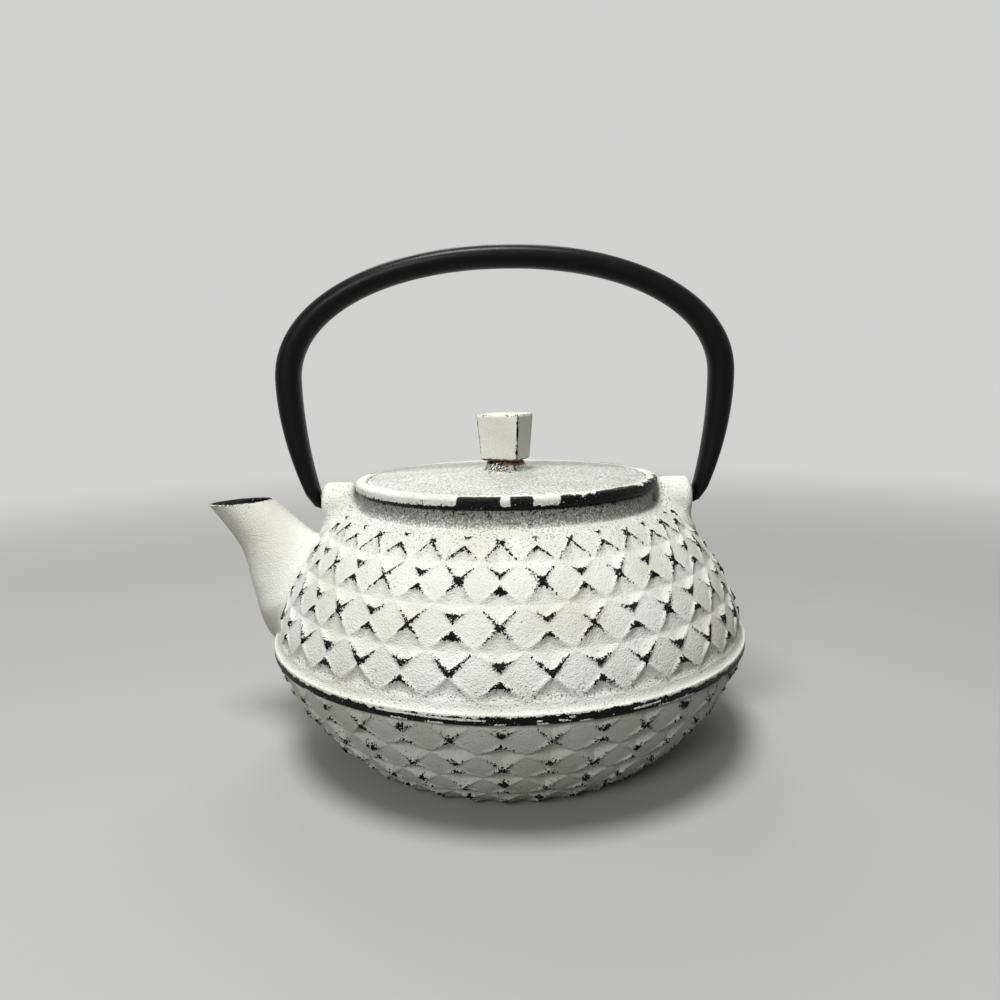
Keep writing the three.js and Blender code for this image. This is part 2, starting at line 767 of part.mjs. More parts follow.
function basketHoop() {
  const inner = basketInner - runningGap - hoopThickness;
  return turned([
    [inner, basketFloor],
    [basketOuter, basketFloor],
    [basketOuter, basketFloor + hoopHeight],
    [basketOuter - hoopThickness, basketFloor + hoopHeight],
    [basketOuter - hoopThickness, basketFloor + hoopThickness],
    [inner, basketFloor + hoopThickness],
    [inner, basketFloor],
  ]);
}

// The gauze floor, dished a little towards its middle and held in the hoop.
function basketSieve() {
  const outer = basketOuter - hoopThickness - runningGap;
  const low = basketFloor + hoopThickness + runningGap + sieveDish;
  const shares = [0, 0.25, 0.5, 0.75, 1];
  const under = shares.map((share) => [outer * share, low - sieveDish * (1 - share ** 2)]);
  const over = under.map(([r, z]) => [r, z + meshThickness]);
  return turned([...under, ...over.toReversed()]);
}

// The assembly

const paint = (color, roughness, metalness) =>
  new THREE.MeshStandardMaterial({ color, roughness, metalness });
const whiteEnamel = paint(0xdcdedb, 0.6, 0);
const creamEnamel = paint(0xd9dacb, 0.5, 0);
const blackIron = paint(0x161616, 0.45, 0.2);
const steel = paint(0xb4b6b8, 0.3, 1);

function piece(name, geometry, material) {
  const mesh = new THREE.Mesh(geometry, material);
  mesh.name = name;
  return mesh;
}

const [shoulderSolid, bowlSolid] = bowlAndShoulder();
const pot = new THREE.Group();
pot.add(piece("pot_bowl", geometryOf(bowlSolid), whiteEnamel));
pot.add(piece("pot_shoulder", geometryOf(shoulderSolid), whiteEnamel));
pot.add(piece("pot_spout", geometryOf(spout()), whiteEnamel));

const handle = new THREE.Group();
handle.add(piece("bail_handle", bail(), blackIron));

const skirt = ring(skirtOuter - skirtThickness, skirtOuter, lidFoot - skirtDepth, lidFoot);
const washer = ring(screwHole, washerRadius, washerTop - washerThickness, washerTop, 32);
const lidGroup = new THREE.Group();
lidGroup.add(piece("lid_plate", lid(), whiteEnamel));
lidGroup.add(piece("lid_skirt", skirt, whiteEnamel));
lidGroup.add(piece("lid_knob", knob(), creamEnamel));
lidGroup.add(piece("knob_screw", screw(), steel));
lidGroup.add(piece("knob_washer", washer, steel));

const basket = new THREE.Group();
basket.add(piece("basket_rim", basketRim(), steel));
basket.add(piece("basket_wall", basketWall(), steel));
basket.add(piece("basket_hoop", basketHoop(), steel));
basket.add(piece("basket_sieve", basketSieve(), steel));

const teapot = new THREE.Group();
teapot.add(pot, handle, basket, lidGroup);
export default teapot;
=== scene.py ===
"""The looks of an enamelled cast-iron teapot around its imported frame. Sizes are in millimetres."""

import math

import bpy
import numpy as np
from mathutils import Matrix, Vector


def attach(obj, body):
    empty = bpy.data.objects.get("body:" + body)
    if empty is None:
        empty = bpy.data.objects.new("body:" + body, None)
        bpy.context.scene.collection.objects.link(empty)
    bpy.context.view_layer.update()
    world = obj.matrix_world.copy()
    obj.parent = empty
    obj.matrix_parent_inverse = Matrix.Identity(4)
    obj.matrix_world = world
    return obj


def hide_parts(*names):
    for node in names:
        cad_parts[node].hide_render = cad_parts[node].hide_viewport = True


MM = 0.001

# The pot's wall, as in the CAD
WAIST = 73.6
BASE = 45.8
BOWL_TOP = 35.0
FLANGE = 74.95
FLANGE_TOP = 38.0
COLLAR = 46.3
COLLAR_FOOT = 77.5
COLLAR_TOP = 82.4
SHOULDER_FULLNESS = 1.5
BOWL_FULLNESS = 1.37
WALL = 3.4
POT_FLOOR = 4.2
THROAT = 39.6
MOUTH = 42.6
LEDGE = 80.3
UNDERSIDE = 0.02

# The relief: its diamonds stand in columns round the pot and in rows up and down from the flange
COLUMNS = 36
FRONT_COLUMN = math.radians(-91.9)
PITCH = {"upper": 11.6, "lower": 10.9}
FIRST_ROW = {"upper": 8.5, "lower": 5.2}
PARITY = {"upper": 0, "lower": 1}
LAST_ROW = 3
# Where the relief rises to its full height and where it runs out, counted in rows
FADE_IN = {"upper": (-0.36, -0.06), "lower": (-0.47, -0.38)}
FADE_OUT = {"upper": (3.3, 3.66), "lower": (3.4, 3.72)}
TIP_GAP = 3.0
CREST = 1.0
DISH = 0.85
SWELL = 0.12
LOWER_DISH_SCALE = 2.1
LOWER_CREST_SCALE = 1.2
RELIEF_RADIUS = 62.0
STEPS_PER_COLUMN = 24
RING_STEP = 0.42

# The spout's front and back edges, from its root to its mouth, as (distance from the axis, height)
SPOUT_FRONT = np.array([(66.6, 24), (78.6, 35.7), (83.1, 50), (86.9, 64.2), (96.75, 78.4)])
SPOUT_BACK = np.array([(51.6, 29), (51.6, 47.4), (55.8, 62), (66.8, 71.2), (75.8, 79.65)])
ROOT_WIDTH = 31.0
MOUTH_WIDTH = 14.4
WIDEST_AT = 0.4
FILLET = 3.4
FILLET_SINK = 0.75
SPOUT_WALL = 2.8
LIP_WALL = 1.5

# The lugs and the bail
PIVOT = 79.0
LUG_IN = 48.5
LUG_OUT = 59.0
LUG_TOP = 84.55
LUG_WIDTH = 13.5
LUG_FOOT = 62.0
LUG_SOFT_TOP = 2.2
LUG_SOFT_GAIN = 2.6
LUG_SOFT_LENGTH = 7.0
LUG_FLARE = 1.7
LUG_FLARE_HEIGHT = 5.5
LUG_FLARE_POWER = 2.2
LUG_HOLE = 2.6
LUG_HOLE_AT = 56.0
LUG_HOLE_DEPTH = 12.0
BAIL_TOP = 157.5
BAIL_SPAN = 72.25
BAIL_BEND = 117.0
BAIL_POWER = 2 / 2.1
BAIL_CROWN_THICK = 7.2
BAIL_SIDE_THICK = 7.9
BAIL_HALF_WIDTH = 4.8
BAIL_END = 59.4
BAIL_END_THICK = 4.4
BAIL_END_HALF_WIDTH = 4.1
BAIL_END_DROP = 2.7
ARCH_SHARE = 0.6
PEG_START = 50.02
PEG_END = 62.0
PEG_RADIUS = 2.25

# The basket
GAUZE_OUT = 38.55
GAUZE_IN = 38.15
GAUZE_TOP = 79.5
GAUZE_FOOT = 38.4
SIEVE_RADIUS = 38.1
SIEVE_HEIGHT = 37.8
SIEVE_DISH = 1.2
SIEVE_THICK = 0.6
WEAVE_PITCH = 0.75
WEAVE_RADIUS = 38.0

# The lid and the knob
LID = 47.85
LID_FOOT = 82.7
LID_TOP = 85.9
LID_HOLLOW = 84.4
LID_ROUND_TOP = 1.15
LID_ROUND_FOOT = 1.0
GROOVE = LID - 3.7
DOME_RISE = 1.22
NECK_FOOT = 9.4
NECK_TOP = 90.7
VENT_AT = 22.0
VENT_TURN = math.radians(9.7)
VENT_HEIGHT = 86.0
VENT_RADIUS = 1.2
VENT_DEPTH = 12.0
KNOB_FOOT = 91.0
KNOB_TOP = 105.68
KNOB_TURN = math.radians(-21)
KNOB_TOP_HALF = 7.2
KNOB_FOOT_HALF = 6.15
KNOB_CORNER = 0.9
KNOB_FOOT_SOFT = 0.9
KNOB_TOP_SOFT = 1.0
KNOB_BULGE = 0.16
CORNER_POINTS = 9
SIDE_POINTS = 16

# Wear from about this value up shows bare iron
BARE = 0.52

# A distance that means not near
FAR = 99.0


# Meshes


class Skin:
    """The points, faces and named values of one mesh, gathered sheet by sheet."""

    def __init__(self):
        self.points = []
        self.corners = []
        self.sizes = []
        self.values = {}
        self.count = 0

    def sheet(self, rings, first=None, last=None, drop=None, wrap=False, **values):
        """A sheet of rings of points, each ring below or inside the one before. first and last
        are the poles that close it, drop tells which faces are left out, and wrap joins the last
        ring to the first."""
        rows, columns, _ = rings.shape
        index = self.count + np.arange(rows * columns).reshape(rows, columns)
        self.points.append(rings.reshape(-1, 3))
        below = np.roll(index, -1, 0) if wrap else index[1:]
        above = index if wrap else index[:-1]
        quads = np.stack([below, np.roll(below, -1, 1), np.roll(above, -1, 1), above], -1)
        quads = quads[~drop] if drop is not None else quads.reshape(-1, 4)
        self.corners.append(quads.ravel())
        self.sizes.append(np.full(len(quads), 4))
        self.count += rows * columns
        poles = [(pole, row) for pole, row in ((first, 0), (last, -1)) if pole is not None]
        for name in set(values) | set(self.values):
            block = np.asarray(values.get(name, 0.0)) * np.ones((rows, columns))
            kept = self.values.setdefault(name, [np.zeros(self.count - rows * columns)])
            kept.append(block.ravel())
            for _, row in poles:
                kept.append(block[row].mean(keepdims=True))
        for pole, row in poles:
            ring = index[row]
            turned = np.roll(ring, -1)
            middle = np.full(columns, self.count)
            fan = (middle, ring, turned) if row == 0 else (middle, turned, ring)
            self.points.append(np.array([pole], float))
            self.corners.append(np.stack(fan, -1).ravel())
            self.sizes.append(np.full(columns, 3))
            self.count += 1

    def make(self, name, body, material, replaces=(), sharp=None):
        """The object of this skin. Edges bent by more than sharp degrees stay sharp."""
        mesh = bpy.data.meshes.new(name)
        points = np.concatenate(self.points) * MM
        corners = np.concatenate(self.corners)
        sizes = np.concatenate(self.sizes)
        mesh.vertices.add(len(points))
        mesh.vertices.foreach_set("co", points.astype(np.float32).ravel())
        mesh.loops.add(len(corners))
        mesh.loops.foreach_set("vertex_index", corners.astype(np.int32))
        mesh.polygons.add(len(sizes))
        mesh.polygons.foreach_set("loop_start", (np.cumsum(sizes) - sizes).astype(np.int32))
        mesh.polygons.foreach_set("use_smooth", np.ones(len(sizes), bool))
        for key, blocks in self.values.items():
            layer = mesh.attributes.new(key, "FLOAT", "POINT")
            layer.data.foreach_set("value", np.concatenate(blocks).astype(np.float32))
        mesh.update(calc_edges=True)
        mesh.validate()
        if sharp:
            mesh.set_sharp_from_angle(angle=math.radians(sharp))
        mesh.materials.append(material)
        piece = bpy.data.objects.new(name, mesh)
        bpy.context.scene.collection.objects.link(piece)
        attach(piece, body)
        if replaces:
            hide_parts(*replaces)
        return piece


def around(profile, angles):
    """Rings of points from a profile of (radius, height) rows."""
    profile = np.asarray(profile, float)
    x = profile[:, :1] * np.cos(angles)
    y = profile[:, :1] * np.sin(angles)
    return np.stack([x, y, np.broadcast_to(profile[:, 1:2], x.shape)], -1)


def circle(count):
    return np.arange(count) * 2 * math.pi / count


def arc(centre, radius, start, end, count):
    a = np.radians(np.linspace(start, end, count))
    return np.stack([centre[0] + radius * np.cos(a), centre[1] + radius * np.sin(a)], -1)


def bend(a, b, c, count):
    """A curve from a to c that starts and ends on the way to b."""
    t = np.linspace(0, 1, count).reshape((-1,) + (1,) * np.ndim(a))
    return (1 - t) ** 2 * np.asarray(a) + 2 * t * (1 - t) * np.asarray(b) + t**2 * np.asarray(c)


def smooth(low, high, x):
    t = np.clip((x - low) / (high - low), 0, 1)
    return t * t * (3 - 2 * t)


def chance(*keys):
    """A value from 0 to 1 that always is the same for the same numbers."""
    mixed = sum(np.asarray(k, float) * w for k, w in zip(keys, (12.9898, 78.233, 37.719, 9.151)))
    return np.modf(np.abs(np.sin(mixed) * 43758.5453))[0]


def ripple(angle, steps, seed):
    """A smooth random value from 0 to 1 round a circle."""
    place = np.mod(angle, 2 * math.pi) * steps / (2 * math.pi)
    cell = np.floor(place)
    share = smooth(0, 1, place - cell)
    return chance(cell % steps, seed) * (1 - share) + chance((cell + 1) % steps, seed) * share


def from_front(angle):
    """Degrees from the front of the pot, less on the spout's side, from -180 to 180."""
    return np.degrees(np.mod(angle + 1.5 * math.pi, 2 * math.pi) - math.pi)


# The pot's outline


def quarter(wide, narrow, fullness):
    """A quarter of a superellipse from its wide end, with the length along it."""
    a = np.linspace(0, math.pi / 2, 2400)
    r = narrow[0] + (wide[0] - narrow[0]) * np.clip(np.cos(a), 0, 1) ** (2 / fullness)
    z = wide[1] + (narrow[1] - wide[1]) * np.sin(a) ** (2 / fullness)
    return r, z, np.concatenate([[0], np.cumsum(np.hypot(np.diff(r), np.diff(z)))])


SHOULDER = quarter((WAIST, FLANGE_TOP), (COLLAR, COLLAR_FOOT), SHOULDER_FULLNESS)
BOWL = quarter((WAIST, BOWL_TOP), (BASE, 0), BOWL_FULLNESS)
HOLLOW_UP = quarter((WAIST - WALL, FLANGE_TOP), (THROAT, COLLAR_FOOT - WALL), SHOULDER_FULLNESS)
HOLLOW_DOWN = quarter((WAIST - WALL, BOWL_TOP), (BASE - WALL, POT_FLOOR), BOWL_FULLNESS)


def wall_radius(height):
    """The radius of the pot's outer wall at a height, without its relief."""
    z = np.concatenate([BOWL[1][::-1], SHOULDER[1]])
    r = np.concatenate([BOWL[0][::-1], SHOULDER[0]])
    return np.interp(height, z, r)


def walk(curve, distances):
    """Points and outward directions at distances along a quarter."""
    r, z, s = curve

    def at(d):
        return np.stack([np.interp(d, s, r), np.interp(d, s, z)], -1)

    step = at(distances + 0.5) - at(distances - 0.5)
    step /= np.linalg.norm(step, axis=-1, keepdims=True)
    side = np.sign(z[-1] - z[0])
    return at(distances), np.stack([step[:, 1], -step[:, 0]], -1) * side


# The relief


def worn_tip(column, row, du, dv, near_tip, side, meets, zone):
    """The wear at a diamond's tip: a bare corner with two arms that run along the crests. fill is
    the corner's depth, arm the arms' length and thin half their width, all in millimetres."""
    half = math.pi * RELIEF_RADIUS / COLUMNS
    slope = side / half
    x = np.abs(du) * 2 * half
    y = (1 - near_tip) * side
    which = np.where(dv < 0, 1.0, 2.0)
    wrapped = np.mod(column, COLUMNS)
    luck = chance(wrapped, row + 7, which, PARITY[zone])
    arm_luck = chance(wrapped + (du > 0) * 0.5, row + 3, which + 5, PARITY[zone])
    fill = np.where(meets, 0.7 + 0.9 * luck**2, 1.0 + 0.9 * luck)
    arm = np.where(meets, 2.0 + 1.4 * arm_luck, 1.8 + 0.9 * arm_luck)
    shown = (row >= 0) & (row < LAST_ROW) | (row == -1) & (dv > 0) | (row == LAST_ROW) & (dv < 0)
    if zone == "upper":
        rim_tips = (row == LAST_ROW - 1) & (dv > 0) & meets
        collar_tips = (row <= 0) & (dv < 0) | (row < 0)
        collar_arm = np.where(row < 0, 0.9 + 0.5 * arm_luck, 2.9 + 1.2 * arm_luck)
        arm = np.where(rim_tips, 3.2 + 0.9 * arm_luck, np.where(collar_tips, collar_arm, arm))
        fill = np.where(rim_tips, 1.3, np.where(collar_tips, 0.4 + 0.3 * luck, fill))
        thin = np.where(rim_tips, 0.55, 0.4)
        shown = shown & ~((row == LAST_ROW) & meets)
        strength = 1.0
    else:
        arm = arm * 0.9
        fill = fill * 0.85
        thin = 0.4
        strength = 0.84 - 0.05 * np.clip(row, 0, LAST_ROW)
    arch = fill + (slope * arm - fill) * (x / arm) ** 2
    in_corner = np.minimum((arch - y) / 0.5, (y - slope * x + 0.28) / 0.4)
    off = np.abs(y - slope * x - 0.05) * 0.75
    arm_end = 1.5 * np.clip(x / arm - 0.85, 0, 9)
    on_arm = (thin * (1.25 - 0.8 * x / arm) - off) / 0.5 - arm_end
    mark = BARE + 0.5 * np.maximum(np.minimum(in_corner, 1), on_arm)
    # Where two tips meet, a short bar joins their corners
    bar = np.minimum(np.minimum((0.45 - np.abs(y)) / 0.35, (1.5 * luck - x) / 0.6), 1)
    mark = np.where(meets, np.maximum(mark, BARE + 0.5 * bar), mark) * strength
    specks = 0.37 * np.clip(1.2 - off / 1.1, 0, 1) * np.clip(1.5 - x / arm, 0, 1) * (0.5 + luck)
    mark = np.where(x < arm * 1.2, np.maximum(mark, specks), specks)
    return np.where(shown, np.clip(mark, -1, 1), -1)


def relief(angle, distance, zone):
    """Height, wear and painted shade of the diamonds at a distance along the wall from the flange. The
    painted shade is grey at the foot of each crest's outer slope.
    """
    u = (angle - FRONT_COLUMN) * COLUMNS / (2 * math.pi)
    v = (distance - FIRST_ROW[zone]) / PITCH[zone]
    if zone == "upper":
        v = LAST_ROW - v
    tip = TIP_GAP / 2 / PITCH[zone]
    inside = np.zeros(np.broadcast(u, v).shape)
    outside = np.zeros_like(inside)
    wear = np.full_like(inside, -1.0)
    within = np.zeros_like(inside, bool)
    for column in (np.floor(u), np.floor(u) + 1):
        for row in (np.round(v) - 1, np.round(v)):
            du = u - column
            dv = v - (row + 0.5)
            top_meets = np.mod(row + column + PARITY[zone], 2) == 0
            up = 0.5 - np.where(top_meets, 0, tip)
            down = 0.5 - np.where(top_meets, tip, 0)
            near_side = np.abs(du) * 2
            near_tip = np.where(dv < 0, -dv / up, dv / down)
            n = near_side + near_tip
            dish = n <= 1
            within |= dish
            crest = CREST * (near_tip / np.maximum(n, 1e-6)) ** 1.25
            inside = np.where(dish, -DISH * (1 - n**2) + crest * n**4, inside)
            fall = np.clip(1 - (n - 1) / 0.25, 0, 1) ** 2
            outside = np.maximum(outside, np.where(dish, 0, crest * fall))
            side = np.where(dv < 0, up, down) * PITCH[zone]
            meets = np.where(dv < 0, top_meets, ~top_meets)
            tip_wear = worn_tip(column, row, du, dv, near_tip, side, meets, zone)
            wear = np.maximum(wear, tip_wear)
    ground = 1 - (np.abs(u - np.floor(u) - 0.5) + np.abs(v - np.round(v))) * 2
    height = np.where(within, inside, outside + SWELL * np.clip(ground, 0, 1))
    fade = smooth(*FADE_IN[zone], v) * (1 - smooth(*FADE_OUT[zone], v))
    # Painted shade: grey at the foot of each crest's outer slope, halfway down from its top, where the
    # relief would lie in shade.
    half_crest = 0.45 * CREST
    crest_shade = 0.3 * np.clip(1 - np.abs(outside - half_crest) / half_crest, 0, 1) * fade
    return height * fade, np.where(fade > 0.5, wear, -1), crest_shade


# The spout


def spline(points, t):
    """A Catmull-Rom curve through points."""
    last = len(points) - 1
    place = np.clip(t, 0, 1) * last
    i = np.minimum(place.astype(int), last - 1)
    w = (place - i)[..., None]
    before = points[np.maximum(i - 1, 0)]
    a = points[i]
    b = points[i + 1]
    after = points[np.minimum(i + 2, last)]
    va = (b - before) / 2
    vb = (after - a) / 2
    return (2 * a - 2 * b + va + vb) * w**3 + (-3 * a + 3 * b - 2 * va - vb) * w**2 + va * w + a


def spout_width(t):
    """The spout's width, which swells from its root to WIDEST_AT and narrows to its mouth."""
    swell = np.sin(math.pi / 2 * np.minimum(1, 0.25 + 1.9 * t))
    narrowing = 1 - np.clip(1 - (t - WIDEST_AT) / (1 - WIDEST_AT), 0, 1) ** 1.9
    return np.where(t < WIDEST_AT, ROOT_WIDTH * swell,
                    ROOT_WIDTH + (MOUTH_WIDTH - ROOT_WIDTH) * narrowing)


def spout_surface(t, side, inset):
    """Points of the spout at shares of its length and angles round it. Angle 0 is the front."""
    front = spline(SPOUT_FRONT, t)
    back = spline(SPOUT_BACK, t)
    along = (front - back) / 2
    length = np.linalg.norm(along, axis=-1)
    beak = 0.3 * smooth(0.5, 1, t)
    half = (length - inset)[..., None] * along / length[..., None]
    place = (front + back) / 2 + half * np.cos(side)[..., None]
    pinch = 1 - beak * np.clip(np.cos(side), 0, 1) ** 2
    y = -(spout_width(t) / 2 - inset) * np.sin(side) * pinch
    return np.stack([-place[..., 0], y, place[..., 1]], -1)


def crossing(side):
    """The share of the spout's length at which each line along it comes out of the wall."""
    t = np.linspace(0, 1, 801)[:, None] + 0 * side
    points = spout_surface(t, side + 0 * t, 0 * t)
    sunk = np.hypot(points[..., 0], points[..., 1]) < wall_radius(points[..., 2])
    last = len(t) - 1 - np.argmax(sunk[::-1], axis=0)
    return t[np.minimum(last + 1, len(t) - 1), np.arange(len(side))]


SIDES = circle(120)
ROOT_AT = crossing(SIDES)
ROOT = spout_surface(ROOT_AT, SIDES, 0 * SIDES)


def from_spout(points):
    """Distance of points on the pot's wall from the edge of the spout's root, less inside it."""
    near = points[..., 0] < -20
    z = np.clip(points[..., 2], ROOT[:, 2].min() + 0.01, ROOT[:, 2].max() - 0.01)
    half = ROOT[ROOT[:, 1] < 0]
    half = half[np.argsort(half[:, 2])]
    edge = np.interp(z, half[:, 2], -half[:, 1])
    out = np.hypot(np.maximum(np.abs(points[..., 1]) - edge, 0), points[..., 2] - z)
    sunk = np.minimum(np.abs(points[..., 1]) - edge, 0)
    return np.where(near, np.where(out > 0, out, sunk), FAR)


def spout_fillet(start):
    """A fillet from the spout's lowest ring to the wall, a little way out from the root."""
    along = np.roll(ROOT, -1, 0) - np.roll(ROOT, 1, 0)
    flat = ROOT * (1, 1, 0)
    flat /= np.linalg.norm(flat, axis=1, keepdims=True)
    slope = (wall_radius(ROOT[:, 2] + 0.5) - wall_radius(ROOT[:, 2] - 0.5))[:, None]
    out = flat - slope * np.array([0, 0, 1.0])
    away = np.cross(out, along)
    away /= np.linalg.norm(away, axis=1, keepdims=True)
    away *= np.sign(((ROOT - ROOT.mean(0)) * away).sum(1, keepdims=True))
    end = ROOT + away * FILLET
    radial = np.hypot(end[:, 0], end[:, 1])
    sunk = wall_radius(end[:, 2]) - FILLET_SINK
    end[:, :2] *= (sunk / radial)[:, None]
    return bend(start, ROOT, end, 10)[1:]


def spout(skin):
    """The spout's outside with a fillet onto the wall, its lip and its bore."""
    start = np.minimum(ROOT_AT + 0.055, 0.97)
    t = start + (1 - start) * np.linspace(1, 0, 64)[:, None]
    body = spout_surface(t, SIDES + 0 * t, 0 * t)
    fillet = spout_fillet(body[-1])
    # Across the lip, from the bore out: how far in, how far up, and how worn
    lip_rings = [(1.5, -0.5, 1.0), (1.15, -0.08, 0.95), (0.75, 0.0, 0.78), (0.35, -0.08, 0.6),
                 (0.08, -0.3, 0.36)]
    lip = [spout_surface(0 * SIDES + 1, SIDES, 0 * SIDES + inset) + (0, 0, lift)
           for inset, lift, _ in lip_rings]
    inner_t = np.linspace(0.3, 0.975, 44)[:, None] + 0 * SIDES
    thickness = SPOUT_WALL + (LIP_WALL - SPOUT_WALL) * np.clip((inner_t - 0.6) / 0.4, 0, 1)
    bore = spout_surface(inner_t, SIDES + 0 * inner_t, thickness)
    rings = np.concatenate([bore, lip, body[1:], fillet])
    below_lip = np.clip(0.25 - np.arange(len(body) - 1) * 0.12, 0, 1)
    wear = np.concatenate([np.ones(len(bore)), [worn for _, _, worn in lip_rings], below_lip,
                           np.zeros(len(fillet))])
    # The last rings, at the foot, are a little grey
    grey = np.zeros((len(rings), 1))
    grey[-12:] = 0.12
    skin.sheet(rings, black=wear[:, None], grey=grey)


# The lugs


def from_lugs(points):
    """Distance of points on the shoulder from the edge of a lug, seen from above."""
    away = np.abs(points[..., 0])
    x = np.maximum(np.maximum(LUG_IN - away, away - LUG_OUT), 0)
    y = np.maximum(np.abs(points[..., 1]) - LUG_WIDTH / 2, 0)
    return np.where(points[..., 2] > 60, np.hypot(x, y), FAR)


def lug(skin, side):
    """One lug: an ear across the bail's peg, round on top, with soft ends and a flared foot."""
    half = LUG_WIDTH / 2
    deep = (LUG_OUT - LUG_IN) / 2
    crown = LUG_TOP - half
    turn = np.radians(np.linspace(87, 0, 20))
    straight = np.linspace(crown, LUG_FOOT, 34)[1:]
    heights = np.concatenate([crown + half * np.sin(turn), straight])[:, None]
    width = np.concatenate([half * np.cos(turn), np.full(len(straight), half)])[:, None]
    soft = LUG_SOFT_TOP + LUG_SOFT_GAIN * smooth(crown, crown - LUG_SOFT_LENGTH, heights)
    # A slice at each height has two straight sides, joined by the two ends
    across = np.cos(np.linspace(math.pi, 0, 24)) * width
    depth = half - np.hypot(across, np.maximum(heights - crown, 0))
    end = deep - soft + np.sqrt(soft**2 - (soft - np.clip(depth, 0, soft)) ** 2)
    along = np.linspace(1, -1, 9)[1:-1] * (deep - soft)
    x = np.concatenate([end, along, -end, -along], 1) + side * (LUG_IN + LUG_OUT) / 2
    y = np.concatenate([across, width + 0 * along, -across, -width + 0 * along], 1)
    ground = np.interp(np.hypot(x, y), SHOULDER[0][::-1], SHOULDER[1][::-1])
    near_ground = np.clip(1 - (heights - ground) / LUG_FLARE_HEIGHT, 0, 1)
    flare = LUG_FLARE * near_ground**LUG_FLARE_POWER
    along_x = np.roll(x, -1, 1) - np.roll(x, 1, 1)
    along_y = np.roll(y, -1, 1) - np.roll(y, 1, 1)
    length = np.hypot(along_x, along_y)
    rings = np.stack([x + flare * along_y / length, y - flare * along_x / length,
                      heights + 0 * x], -1)
    # The lug's grey speckle rises towards its inner face by the collar. That rise is painted shade between
    # lug and collar.
    speckle_and_shade = 0.18 + 0.2 * smooth(6, 0, np.abs(np.abs(x) - LUG_IN))
    skin.sheet(rings, first=rings[0].mean(0), last=rings[-1].mean(0), grey=speckle_and_shade, black=0.0)


def both_lugs(skin):
    lug(skin, -1)
    lug(skin, 1)


# The pot


def collar_profile(end):
    """From the mouth over the collar's top and down to the shoulder."""
    soft = 0.6
    return np.concatenate([
        [(MOUTH, COLLAR_TOP), (MOUTH + 1.4, COLLAR_TOP)],
        arc((COLLAR - soft, COLLAR_TOP - soft), soft, 90, 0, 6),
        [(COLLAR, z) for z in np.linspace(COLLAR_TOP - 1, COLLAR_FOOT + 1.4, 6)],
        bend((COLLAR, COLLAR_FOOT + 1.2), (COLLAR, COLLAR_FOOT), end, 6)[:-1]])


def flange_profile(start, end):
    """From the shoulder over the flange's edge and down to the bowl."""
    soft_top = 0.35
    soft_foot = 0.55
    return np.concatenate([
        bend(start, (WAIST, FLANGE_TOP + 0.35), (FLANGE - 0.4, FLANGE_TOP - 0.05), 9)[1:],
        arc((FLANGE - soft_top, FLANGE_TOP - 0.4), soft_top, 80, 0, 5),
        [(FLANGE, z) for z in np.linspace(FLANGE_TOP - 0.8, BOWL_TOP + 0.8, 14)],
        arc((FLANGE - soft_foot, BOWL_TOP + 0.57), soft_foot, 0, -90, 6),
        bend((FLANGE - 0.7, BOWL_TOP + 0.02), (WAIST, BOWL_TOP), end, 6)[:-1]])


def foot_profile(start):
    """From the bowl over its foot and in under the pot."""
    return np.concatenate([
        bend(start, (BASE - 0.3, UNDERSIDE), (BASE - 2.4, UNDERSIDE), 7)[1:],
        [(r, UNDERSIDE) for r in (40, 32, 24, 16, 8, 3)]])


def hollow_profile():
    """The pot's inside, from the middle of its floor up to the basket's ledge and the mouth."""
    down = HOLLOW_DOWN[2][-1]
    up = HOLLOW_UP[2][-1]
    return np.concatenate([
        [(r, POT_FLOOR) for r in (3, 10, 20, 30, 38)],
        walk(HOLLOW_DOWN, np.linspace(down - 0.6, 0.6, 26))[0],
        walk(HOLLOW_UP, np.linspace(0.6, up - 0.6, 26))[0],
        [(THROAT, 75), (THROAT, 78), (THROAT, LEDGE - 0.3), (THROAT + 0.4, LEDGE)],
        [(MOUTH - 0.4, LEDGE), (MOUTH, LEDGE + 0.3), (MOUTH, 81.5), (MOUTH, COLLAR_TOP - 0.3)]])


# Streaks of enamel on the flange's black rim, as (degrees from the front, half length in degrees,
# height, rise per degree)
STREAKS = [
    (-13.5, 9, 36.75, -0.03),
    (5.3, 0.5, 36.2, 0),
    (9.8, 1.0, 36.0, -0.2),
    (11.4, 0.5, 36.7, 0),
    (-24, 2.5, 36.9, 0),
    (27, 3, 36.4, 0.05),
]


def flange_wear(profile, angle):
    """The flange's rim is black, with a ragged upper edge, small smears and a few streaks."""
    r = profile[:, :1]
    z = profile[:, 1:2]
    ragged = 0.5 * ripple(angle, 260, 1) + 0.5 * ripple(angle, 610, 2) - 0.5
    sideways = 1 - np.abs(np.cos(angle - FRONT_COLUMN))
    line = 37.3 - 0.8 * sideways**2 + 1.1 * ragged + 0.35 * (ripple(angle, 40, 3) - 0.5)
    wear = np.clip(0.5 + (line - z) * 1.6, 0, 1) * np.where(r > FLANGE - 0.6, 1, 0)
    smear = smooth(0.66, 0.8, ripple(angle, 90, 4)) * smooth(35.9, 35.5, z)
    wear = wear * (1 - 0.75 * smear)
    for centre, half, height, rise in STREAKS:
        away = from_front(angle) - centre
        off = np.abs(z - height - rise * away) + 0.12 * (ripple(angle, 300, 6) - 0.5)
        streak = smooth(0.36, 0.2, off) * smooth(half + 0.4, half - 0.2, np.abs(away))
        wear = wear * (1 - 0.8 * streak)
    return wear


def over_bore(rings, outward, inset, low, high):
    """Which faces of a wall the spout's tube covers, between two heights. outward scales the
    rings of an inner wall to the outer one."""
    middle = (rings[:-1] + np.roll(rings[1:], -1, 1)) / 2
    z = middle[..., 2]
    return (from_spout(middle * outward) < -inset) & (z > low) & (z < high)


